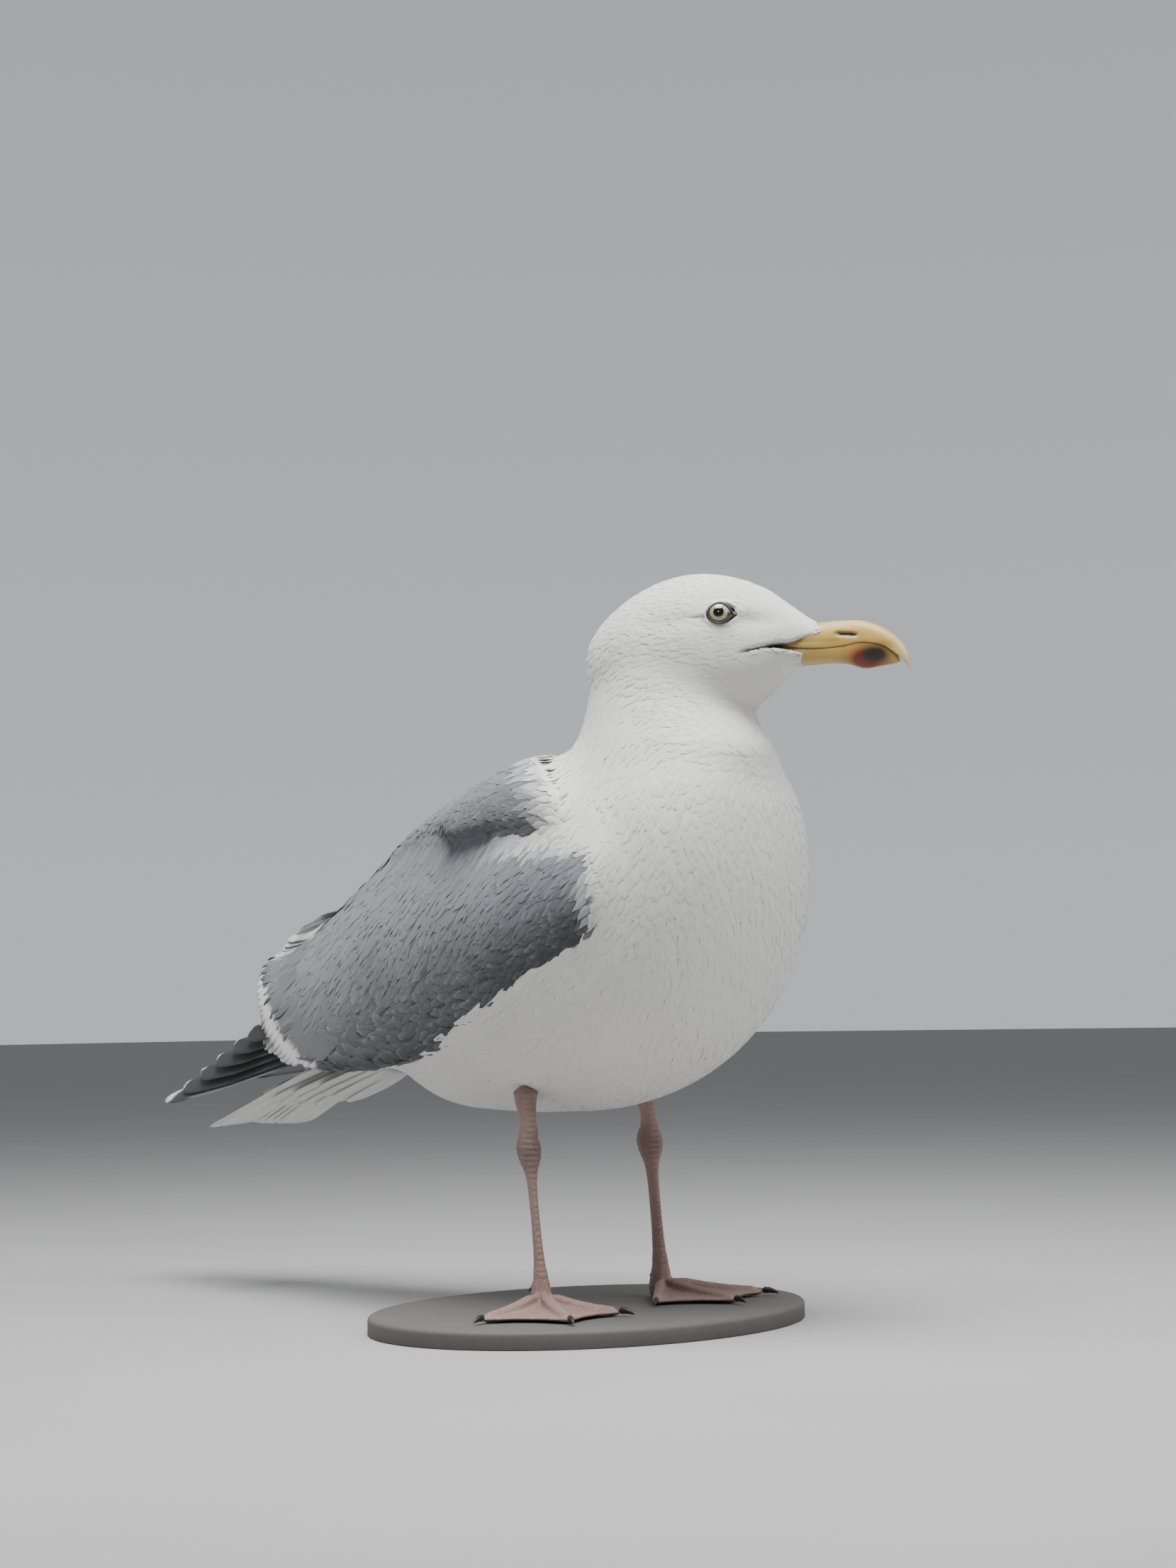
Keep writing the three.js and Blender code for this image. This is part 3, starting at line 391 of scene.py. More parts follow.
body_parts = {
    "trunk": closed_tube(upright_rings(TRUNK, 110, 120, 0.96, COAT["trunk"], 0.004)),
    "neck": closed_tube(neck_rings(70, 96, COAT["neck"])),
    "head": closed_tube(head_to_bird(upright_rings(HEAD, 100, 96, 1.0, COAT["head"], 0.004))),
    "mantle": closed_slab(*(mantle_surface(*MANTLE_GRID, depth["mantle"]) for depth in (COAT, INNER_SIDE))),
}
for wing_name, wing_side in (("wing_left", 1), ("wing_right", -1)):
    body_parts[wing_name] = closed_slab(*(
        wing_surface(wing_side, *WING_GRID, depth["wing"]) for depth in (COAT, INNER_SIDE)))
part_trees = {name: surface_of(*part) for name, part in body_parts.items()}

# ------------------------------------------------------------------ lines of the face, in the head's frame

# The edge of the feathers on the bill, above and below the gape, and the gape itself: x and z.
UPPER_EDGE = np.array([(33, -4.8), (42, -2.6), (47.5, -0.9), (54, 0.4), (60.5, 1.7), (67, 3.2), (74, 4.0)])
GAPE_LINE = np.array([
    (28, -7.0), (33, -5.2), (37, -3.9), (42, -2.8), (47.5, -1.3), (52, -0.7), (56, -1.3), (60, -3.0),
])
LOWER_EDGE = np.array([(48.5, -2.2), (54, -3.4), (60.6, -5.0), (59.8, -7.5), (56.8, -10.5)])
CULMEN_POINT = (66.7, 8.8, 1.35)  # where the forehead's feathers end, and how their edge slopes from there


def line_height(line, x):
    return np.interp(x, line[:, 0], line[:, 1])


def over_gape(h):
    """How far points of the head lie over the gape's line."""
    return h[..., 2] - line_height(GAPE_LINE, h[..., 0])


def bare_horn(h):
    """How far (0..1) points of the head lie where horn shows and no feather grows."""
    x, z = h[..., 0], h[..., 2]
    gape = line_height(GAPE_LINE, x)
    above = smooth_step(line_height(UPPER_EDGE, x) - z, -0.1, 0.3) * smooth_step(x, 46, 48) * (z > gape - 1.2)
    edge_x = np.interp(-z, -LOWER_EDGE[:, 1], LOWER_EDGE[:, 0])
    below = smooth_step(x - edge_x, -0.2, 0.4) * (z < gape)
    crown_x, crown_z, slope = CULMEN_POINT
    crown = smooth_step(x - crown_x - slope * (crown_z - z), -0.2, 0.5) * (z > 2)
    return np.clip(above + below + crown, 0, 1)


def horn_half(x, z):
    """Half width of the bill at a height, or a negative number outside it."""
    wide = np.full(np.shape(x), -9.0)
    for table, square in ((UPPER_BILL, 0.82), (LOWER_BILL, 0.88)):
        rows = catmull(table, np.linspace(0, 1, 240))
        top, bottom, half, middle = (np.interp(x, rows[:, 0], rows[:, k]) for k in (1, 2, 3, 4))
        reach = np.where(z > middle, top - middle, middle - bottom)
        share = np.abs(z - middle) / np.maximum(reach, 1e-3)
        inside = (share < 1) & (x > rows[0, 0]) & (x < rows[-1, 0])
        here = half * np.clip(1 - np.clip(share, 0, 1) ** (2 / square), 0, 1) ** (square / 2)
        wide = np.where(inside, np.maximum(wide, here), wide)
    return wide


EYE_AXIS = unit(np.array(EYE["axis"]))
EYE_FORE = unit(np.cross(EYE_AXIS, [0, 0, 1.0]))
EYE_UP = np.cross(EYE_FORE, EYE_AXIS)


def eye_place(h):
    """Points of the head as seen from the eye: forward, up and out along its axis; the side is mirrored."""
    left = np.stack([h[..., 0], np.abs(h[..., 1]), h[..., 2]], -1) - np.array(EYE["place"])
    return left @ EYE_FORE, left @ EYE_UP, left @ EYE_AXIS


def almond(angle, half_length, front_length, half_height):
    """Outline of the lids: a rounded almond with its point at the front."""
    c, s = np.cos(angle), np.sin(angle)
    length = np.where(c > 0, half_length + (front_length - half_length) * np.clip(c, 0, 1) ** 3, half_length)
    narrow = 1 - 0.25 * np.clip(c, 0, 1) ** 4
    return length * c, half_height * s * narrow - 0.5 * np.clip(c, 0, 1) ** 4


def almond_share(p, q):
    """1 on the lids' inner outline, less inside it, more outside."""
    length = np.where(p > 0, LIDS["front_length"], LIDS["rear_length"])
    return np.sqrt((p / length) ** 2 + (q / LIDS["half_height"]) ** 2)


def eye_crease(p, q, spread):
    """1 on the fine crease that runs back from the eye's rear corner, less beside it."""
    return np.exp(-((q + 1.2 + 0.03 * (p + 8)) ** 2) / spread)


# ------------------------------------------------------------------ skin


def join_parts(parts):
    """Several parts' points and lists of faces as one."""
    points, faces, count = [], [], 0
    for part_points, part_faces in parts:
        points.append(part_points)
        faces += [[k + count for k in f] for f in part_faces]
        count += len(part_points)
    return np.vstack(points), faces


def voxel_surface(points, faces, voxel, swell=0.0, weld=0.0):
    """The voxel surface round closed solids, as a mesh in millimetres."""
    mesh = bpy.data.meshes.new("rough")
    mesh.from_pydata(points.tolist(), [], faces)
    thing = put_in_scene("rough", mesh)
    if weld:
        thing.modifiers.new("weld", "WELD").merge_threshold = weld
    if swell:
        grow = thing.modifiers.new("grow", "DISPLACE")
        grow.strength = swell
        grow.mid_level = 0
    remesh = thing.modifiers.new("whole", "REMESH")
    remesh.mode = "VOXEL"
    remesh.voxel_size = voxel
    found = thing.evaluated_get(bpy.context.evaluated_depsgraph_get()).to_mesh().copy()
    bpy.data.objects.remove(thing)
    return found


def refine(mesh, wanted):
    """Divides the faces whose middle lies where wanted says."""
    whole = bmesh.new()
    whole.from_mesh(mesh)
    chosen = wanted(np.array([f.calc_center_median() for f in whole.faces]))
    edges = {e for f, take in zip(whole.faces, chosen) if take for e in f.edges}
    bmesh.ops.subdivide_edges(whole, edges=list(edges), cuts=1, use_grid_fill=True)
    bmesh.ops.triangulate(whole, faces=[f for f in whole.faces if len(f.verts) > 4])
    whole.to_mesh(mesh)
    whole.free()


def mesh_arrays(mesh):
    """Points and edges of a mesh."""
    points = np.empty(len(mesh.vertices) * 3)
    mesh.vertices.foreach_get("co", points)
    edges = np.empty(len(mesh.edges) * 2, np.int64)
    mesh.edges.foreach_get("vertices", edges)
    return points.reshape(-1, 3), edges.reshape(-1, 2)


def move_points(mesh, points):
    mesh.vertices.foreach_set("co", points.ravel())
    mesh.update()


def normals_of(mesh):
    normals = np.empty(len(mesh.vertices) * 3)
    mesh.vertices.foreach_get("normal", normals)
    return normals.reshape(-1, 3)


def neighbour_counts(points, edges):
    return np.maximum(np.bincount(edges.ravel(), minlength=len(points)), 1)[:, None]


def to_neighbours(points, edges, counts):
    """The way from each point to the middle of its neighbours."""
    total = np.empty_like(points)
    for axis in range(3):
        column = np.bincount(edges[:, 0], points[edges[:, 1], axis], len(points))
        total[:, axis] = column + np.bincount(edges[:, 1], points[edges[:, 0], axis], len(points))
    return total / counts - points


def relax(points, edges, share, times):
    """Moves each point a share of the way to the middle of its neighbours."""
    counts = neighbour_counts(points, edges)
    for _ in range(times):
        points = points + np.reshape(share, (-1, 1)) * to_neighbours(points, edges, counts)
    return points


def fill_valleys(mesh, points, edges, share, times, inward=0.3):
    """Lifts the hollows of the surface towards their neighbours, and lowers its ridges by less."""
    counts = neighbour_counts(points, edges)
    for step in range(times):
        if step % 5 == 0:
            move_points(mesh, points)
            out = normals_of(mesh)
        move = to_neighbours(points, edges, counts)
        rise = dot(move, out)
        move = move * 0.2 + out * rise * 0.8
        points = points + share[:, None] * move * np.where(rise > 0, 1, inward)
    return points


def distances(points, names=REGIONS):
    """Distance of each point from each region's own surface."""
    places = points.tolist()
    return np.array([[part_trees[name].find_nearest(p)[3] for p in places] for name in names])


def to_wings(points):
    return distances(points, REGIONS[4:]).min(0)


def seam(first, second, reach):
    """1 where two distances are nought, as where two surfaces meet, less away from there."""
    return np.exp(-(first**2 + second**2) / (2 * reach**2))


def sculpt_face(points):
    """Lays the skin over and under the horn, sinks it at the eyeballs, the creases and the gape, and raises
    the lids and the brow."""
    h = bird_to_head(points)
    near = (h[:, 0] > -16) & (h[:, 2] > -30)
    x, y, z = h[near].T
    side = np.where(y < 0, -1.0, 1.0)
    bare = bare_horn(h[near])
    horn = horn_half(x, z)
    wide = np.abs(y)
    cover = (1 - bare) * smooth_step(x, 46, 52) * smooth_step(wide, 0.6, 2.2) * (horn > 0)
    wide = wide + cover * np.maximum(horn + 0.4 - wide, 0)
    wide = np.where(horn > 0, wide - bare * np.maximum(wide - horn + 1.0, 0), wide * (1 - 0.3 * bare))
    z = np.where(z > 5, z - 2.6 * bare, z + np.where(z < -6, 2.2, 0) * bare)
    p, q, out = eye_place(h[near])
    share = almond_share(p, q)
    outside = out > 0
    open_eye = outside * (1 - smooth_step(share, 1.02, 1.14))
    upper_lid = bell(share, 1.40, 0.13) * smooth_step(q, -2.5, 2)
    lower_lid = bell(share, 1.36, 0.10) * smooth_step(-q, -1, 2)
    crease = eye_crease(p, q, 0.8) * smooth_step(-p, 6.2, 8) * (1 - smooth_step(-p, 12, 20))
    brow = bell(q, 8.5, 3.4) * bell(p, 2, 13)
    lore = bell(x, 42, 8) * bell(z, 9.5, 4)
    cheek = bell(x, 4, 17) * bell(z, 12, 5)
    jaw = bell(x, 34, 12) * bell(z, -11, 5.5)
    gape = bell(z, line_height(GAPE_LINE, x), 0.8) * smooth_step(x, 33, 41) * (x < 54)
    push = outside * (-3.4 * open_eye + 0.75 * upper_lid + 0.3 * lower_lid - 0.7 * crease + 0.9 * brow)
    push = push - 1.1 * lore - 0.7 * cheek * (share > 1.6) + 0.5 * jaw - 1.1 * gape
    flip = np.stack([np.ones_like(y), side, np.ones_like(y)], -1)
    h[near] = np.stack([x, side * wide, z], -1) + EYE_AXIS * flip * push[:, None]
    return head_to_bird(h)


def on_face(middles):
    h = bird_to_head(middles)
    return (h[:, 0] > 10) & (h[:, 2] > -24) & (h[:, 2] < 27)


def by_eye_or_bill(middles):
    h = bird_to_head(middles)
    p, q, out = eye_place(h)
    by_eye = (almond_share(p, q) < 2.1) & (out > -2)
    by_bill = (h[:, 0] > 44) | ((h[:, 0] > 30) & (np.abs(h[:, 2] + 2.5) < 4))
    return by_eye | by_bill


def smooth_seams(mesh, points, edges):
    """Fills the creases where neck, mantle and wings meet, but not under the wing or at the throat."""
    gaps = distances(points).T
    points = relax(points, edges, 0.35, 4)
    h = bird_to_head(points)
    throat = seam(h[:, 0] - 30, h[:, 2] + 36, 10)
    soft = (gaps.argmin(1) < 3) * (1 - 0.85 * throat)
    near_wing = smooth_step(gaps[:, 3:].min(1), 4, 14)
    points = fill_valleys(mesh, points, edges, 0.6 * soft * near_wing, 60, 0.10)
    to_body, to_mantle, to_wing = gaps[:, :3].min(1), gaps[:, 3], gaps[:, 4:].min(1)
    x, y, _ = points.T
    on_wing_edge = seam(to_mantle, to_wing, 9) * (0.06 + 0.94 * smooth_step(-x, 4, 34))
    at_bend = seam(to_body, to_wing, 7) * (0.10 + 0.9 * smooth_step(x, 6, 44))
    at_nape = seam(to_body, to_mantle, 8) * (0.15 + 0.85 * smooth_step(np.abs(y), 6, 30))
    share = 0.8 * np.clip(np.maximum(np.maximum(on_wing_edge, at_bend), at_nape) * 1.3, 0, 1)
    return fill_valleys(mesh, points, edges, share, 110)


def build_skin():
    parts = join_parts((points, face_lists(faces)) for points, faces in body_parts.values())
    mesh = voxel_surface(*parts, VOXEL)
    points = smooth_seams(mesh, *mesh_arrays(mesh))
    mesh.vertices.foreach_set("co", points.ravel())
    refine(mesh, on_face)
    refine(mesh, by_eye_or_bill)
    points, edges = mesh_arrays(mesh)
    on_head = smooth_step(bird_to_head(points)[:, 0], 8, 14)
    points = relax(points, edges, 0.5 * on_head, 5)
    points = sculpt_face(points)
    points = relax(points, edges, 0.35 * on_head, 2)
    move_points(mesh, points)
    mesh.name = "skin"
    return mesh


skin_mesh = build_skin()
skin = put_in_scene("skin", skin_mesh)


def unwrap(thing):
    """An unwrap of the skin's own shape, which places every small feather's patch in the bake."""
    thing.data.uv_layers.new(name="OFBake")
    bpy.context.view_layer.objects.active = thing
    thing.select_set(True)
    bpy.ops.object.mode_set(mode="EDIT")
    bpy.ops.mesh.select_all(action="SELECT")
    bpy.ops.uv.smart_project(angle_limit=np.radians(70), island_margin=0.004)
    bpy.ops.object.mode_set(mode="OBJECT")
    thing.select_set(False)


unwrap(skin)
skin_points, _ = mesh_arrays(skin_mesh)
skin_normals = normals_of(skin_mesh)
skin_corners = np.array([(list(p.vertices) + [p.vertices[-1]])[:4] for p in skin_mesh.polygons])
skin_loops = np.array([(list(p.loop_indices) + [p.loop_indices[-1]])[:4] for p in skin_mesh.polygons])
skin_map = np.empty(len(skin_mesh.loops) * 2)
skin_mesh.uv_layers["OFBake"].data.foreach_get("uv", skin_map)
skin_map = skin_map.reshape(-1, 2)
skin_gaps = distances(skin_points)
skin_region = skin_gaps.argmin(0)
skin_tree = BVHTree.FromPolygons(skin_points.tolist(), face_lists(skin_corners))
face_normals = unit(skin_normals[skin_corners].mean(1))
face_middles = skin_points[skin_corners].mean(1)
face_region = skin_region[skin_corners[:, 0]]
face_areas = np.array([p.area for p in skin_mesh.polygons])
# The flank's white feathers start a little above the wing's lower edge and cover it.
wing_low, wing_top = wing_edges(face_middles[:, 0])
edge_strip = (face_region > 3) & (skin_gaps[0][skin_corners[:, 0]] < 2.4)
edge_strip &= (face_middles[:, 2] - wing_low < 0.16 * (wing_top - wing_low)) & (face_middles[:, 0] < 60)
face_region[edge_strip] = 0

# ------------------------------------------------------------------ plumage pattern and painted shade


def wing_place(side, points):
    """u and v of the nearest places on a folded wing."""
    tree = part_trees["wing_left" if side > 0 else "wing_right"]
    rows, columns = (count - 1 for count in WING_GRID[0].shape)
    found = np.array([tree.find_nearest(p)[2] for p in points.tolist()])
    on_sheet = found < 2 * rows * columns
    found = found % (rows * columns)
    low, top = wing_edges(points[:, 0])
    v = np.clip((points[:, 2] - low) / np.maximum(top - low, 1), 0, 1)
    u = np.where(on_sheet, found // columns / rows, wing_length_share(points[:, 0]))
    return u, np.where(on_sheet, found % columns / columns, v)


def ripple(points, scale, seed):
    """A soft repeatable variation between -1 and 1."""
    p = points / scale + seed
    return (np.sin(p[:, 0] + 1.7 * np.sin(p[:, 1])) + np.sin(1.3 * p[:, 2] + 1.9 * np.sin(0.8 * p[:, 0]))) / 2


def to_rim(side, place, v, first):
    """Distance from the wing's lower (v 0) or upper (v 1) edge, from a share of its length to the tip."""
    u = np.linspace(first, 1, 60)
    line = wing_surface(side, u, np.full(60, float(v)), 0.5)
    return np.sqrt(((place[:, None, :] - line[None]) ** 2).sum(-1).min(1))


def mantle_marks_and_shade(place):
    """How grey the mantle is at places on it, and how much painted shade darkens its front part towards the
    sides over the wings.
    """
    x, y, _ = place.T
    front = -20 + 60 * np.clip(np.abs(y) / 66, 0, 1) ** 2
    share = smooth_step(front - x + 3 * ripple(place, 4, 1), -3, 14)
    across = np.abs(y) / mantle_half(x)
    # Painted shade: darker towards the side edge, where the mantle overhangs the wing.
    rim = 0.5 * smooth_step(across, 0.72, 0.96) + 0.35 * smooth_step(across, 0.94, 1.0)
    return share, 1 - rim * smooth_step(x, -66, -44)


def wing_marks_and_shade(side, place):
    """How grey a folded wing is at places on it, and how much painted shade darkens it towards its lower
    edge.
    """
    u, v = wing_place(side, place)
    leading = smooth_step(v + 0.015 * ripple(place, 5, 2), 0.77, 0.86) * (1 - smooth_step(u, 0.2, 0.34))
    bend = smooth_step(place[:, 0] + 1.5 * ripple(place, 3, 4), 59, 65)
    rear = 1 - smooth_step(to_rim(side, place, 0, 0.72) + 1.2 * ripple(place, 3, 5), 3.0, 6.5)
    upper = 1 - smooth_step(to_rim(side, place, 1, 0.78) + ripple(place, 3, 6), 1.5, 4.5)
    share = (1 - leading) * (1 - bend) * (1 - 0.9 * rear) * (1 - 0.8 * upper)
    # Painted shade: darker towards the wing's lower edge behind the bend, fading towards the rear, as if lit
    # from above.
    low = (1 - smooth_step(v, 0.08, 0.74)) * smooth_step(u, 0.02, 0.12) * (1 - 0.6 * smooth_step(u, 0.5, 0.8))
    return share, 1 - 0.72 * low


def face_painted_shade(points):
    """Painted shade on the face: how dark the lores, the cheek under the eye, the ear coverts behind it, the
    rim of the lids, the crease behind the eye and the gape are painted.
    """
    h = bird_to_head(points)
    on_head = (h[:, 0] > -20) & (h[:, 2] > -20)
    p, q, out = eye_place(h)
    # Painted shade in the hollows and creases about the eye and along the gape.
    painted_face_shade = 0.34 * bell(p, 14, 6.0) * bell(q, -1.2, 2.4) + 0.20 * bell(p, 5.5, 3.4) * bell(q, -7.6, 2.2)
    painted_face_shade = painted_face_shade + 0.12 * bell(p, -14, 12) * bell(q, -0.5, 3.0)
    painted_face_shade = painted_face_shade + 0.22 * bell(almond_share(p, q), 1.5, 0.14) * (q < 1)
    painted_face_shade = painted_face_shade + 0.5 * eye_crease(p, q, 0.55) * smooth_step(-p, 6.0, 7.2) * (1 - smooth_step(-p, 9, 17))
    painted_face_shade = painted_face_shade * on_head * (out > -6) * (h[:, 0] < 62)
    gape = bell(over_gape(h), 0, 0.85) * smooth_step(h[:, 0], 32, 40) * (h[:, 0] < 60)
    return np.clip(painted_face_shade + 0.93 * gape * on_head, 0, 0.95)


def markings_and_painted_shade(points, region):
    """The plumage's colour at points of the skin: white, with a grey mantle and wings, and painted shade on
    the wings' lower part, the mantle's sides and the face.
    """
    colour = np.tile(WHITE, (len(points), 1)) * (1 + 0.015 * ripple(points, 9, 3)[:, None])
    grey = GREY * (1 + 0.09 * ripple(points, 14, 7) + 0.06 * ripple(points, 4.5, 1))[:, None]
    marks_and_shade = {3: mantle_marks_and_shade, 4: partial(wing_marks_and_shade, 1), 5: partial(wing_marks_and_shade, -1)}
    for k, rule in marks_and_shade.items():
        here = region == k
        if here.any():
            share, painted_light = (values[:, None] for values in rule(points[here]))
            colour[here] = colour[here] * (1 - share) + grey[here] * painted_light * share
    return np.clip(colour * (1 - face_painted_shade(points)[:, None]), 0, 1)


paint(skin, "coat_colour", markings_and_painted_shade(skin_points, skin_region))
skin_mesh.shade_smooth()
move_points(skin_mesh, skin_points * MM + BIRD)

# ------------------------------------------------------------------ the lie of the coat

SPINE = [
    (128, 22, 300), (100, 15, 302), (57, 3, 306), (26, -2, 298), (22, 0, 268), (30, 0, 232), (14, 0, 196),
    (-30, 0, 170), (-90, 0, 152), (-150, 0, 132), (-215, 0, 104),
]
spine = catmull(SPINE, np.linspace(0, 1, 90))
spine_lie = unit(np.gradient(spine, axis=0))


def wing_run(side, u, v, inset, du=0.0, dv=0.0):
    """The way over a folded wing from just before a place to just past it, along u or v."""
    past = wing_surface(side, np.clip(u + du, 0, 1), np.clip(v + dv, 0, 1), inset)
    return past - wing_surface(side, np.clip(u - du, 0, 1), np.clip(v - dv, 0, 1), inset)


def lie_on_body(points):
    """Down the neck and back along the body, and along the wing's lower edge beside it."""
    gap = ((points[:, None, :] - spine[None]) ** 2).sum(-1)
    weight = np.exp(-(gap - gap.min(1, keepdims=True)) / (2 * 22.0**2))
    lie = unit((weight[:, :, None] * spine_lie[None]).sum(1))
    beside = (bell(to_wings(points), 0, 9.0) * (points[:, 0] < 60) * (points[:, 2] < 190))[:, None]
    run_x, run_z = np.gradient(wing_rows[:, 0]), np.gradient(wing_rows[:, 2])
    slope = np.interp(-points[:, 0], -wing_rows[:, 0], run_z / np.maximum(-run_x, 1e-3))
    along_edge = unit(np.stack([-np.ones(len(points)), np.zeros(len(points)), np.clip(slope, -1.2, 0.3)], -1))
    return lie * (1 - beside) + along_edge * beside


def lie_on_mantle(points):
    """Back and outward from the ridge, and inward by the wings."""
    across = np.abs(points[:, 1]) / mantle_half(points[:, 0])
    by_edge = bell(to_wings(points), 0, 11.0) * smooth_step(-points[:, 0], -20, 40)
    outward = 0.16 * smooth_step(across, 0.1, 0.5) * (1 - by_edge) - 0.5 * by_edge
    inner = 1 - smooth_step(across, 0.75, 0.95)
    fall = -0.1 - 0.24 * smooth_step(across, 0.1, 0.5) * inner
    aside = np.sign(points[:, 1]) * outward * np.maximum(inner, by_edge)
    return np.stack([-np.ones(len(points)), aside, fall], -1)


def lie_on_wing(side, points):
    """Slanting down and back, and along the wing near its lower edge."""
    back = smooth_step(-points[:, 0], -60, 190)
    lie = np.stack([-1 + 0.25 * back, -0.1 * np.sign(points[:, 1]), -0.95 - 0.35 * back], -1)
    u, v = wing_place(side, points)
    share = ((1 - smooth_step(v, 0.06, 0.42)) * (1 - smooth_step(u, 0.6, 0.85)))[:, None]
    return unit(lie) * (1 - share) + (unit(wing_run(side, u, v, 0.5, du=0.03)) + [0, 0, 0.2]) * share


def lie_at(points, normals, region):
    """The direction in which feathers lie at points of the skin."""
    lie = np.empty_like(points)
    rules = (lie_on_body, lie_on_mantle, partial(lie_on_wing, 1), partial(lie_on_wing, -1))
    for k, rule in enumerate(rules):
        here = np.maximum(region, 2) == k + 2
        if here.any():
            lie[here] = rule(points[here])
    h = bird_to_head(points)
    by_gape = (bell(over_gape(h), 0, 4.0) * smooth_step(h[:, 0], 26, 34) * (region < 3))[:, None]
    lie = lie * (1 - by_gape) + head_direction([-0.98, 0, -0.2]) * by_gape
    return unit(lie - normals * dot(lie, normals))


# ------------------------------------------------------------------ vanes


def scatter(chosen, spacing):
    """Places on the chosen faces of the skin about spacing apart: points, normals, map places, regions."""
    faces = np.flatnonzero(chosen)
    expected = face_areas[faces] / spacing[faces] ** 2 * TRIES
    count = int(expected.sum())
    pick = faces[rng.choice(len(faces), count, p=expected / expected.sum())]
    a, b = rng.random((2, count, 1))
    weights = [(1 - a) * (1 - b), a * (1 - b), a * b, (1 - a) * b]
    corners, loops = skin_corners[pick], skin_loops[pick]
    points = sum(w * skin_points[corners[:, k]] for k, w in enumerate(weights))
    normals = unit(sum(w * skin_normals[corners[:, k]] for k, w in enumerate(weights)))
    places = sum(w * skin_map[loops[:, k]] for k, w in enumerate(weights))
    tree = KDTree(count)
    for k, p in enumerate(points.tolist()):
        tree.insert(p, k)
    tree.balance()
    alive = np.ones(count, bool)
    kept = []
    for k in range(count):
        if alive[k]:
            kept.append(k)
            for _, other, _ in tree.find_range(points[k], spacing[pick[k]] * LEAST_GAP):
                alive[other] = False
    kept = np.array(kept)
    return points[kept], normals[kept], places[kept], face_region[pick[kept]]


def nearest_on_skin(points):
    found = [skin_tree.find_nearest(p) for p in points.tolist()]
    return np.array([f[0] for f in found]), face_normals[[f[2] for f in found]]


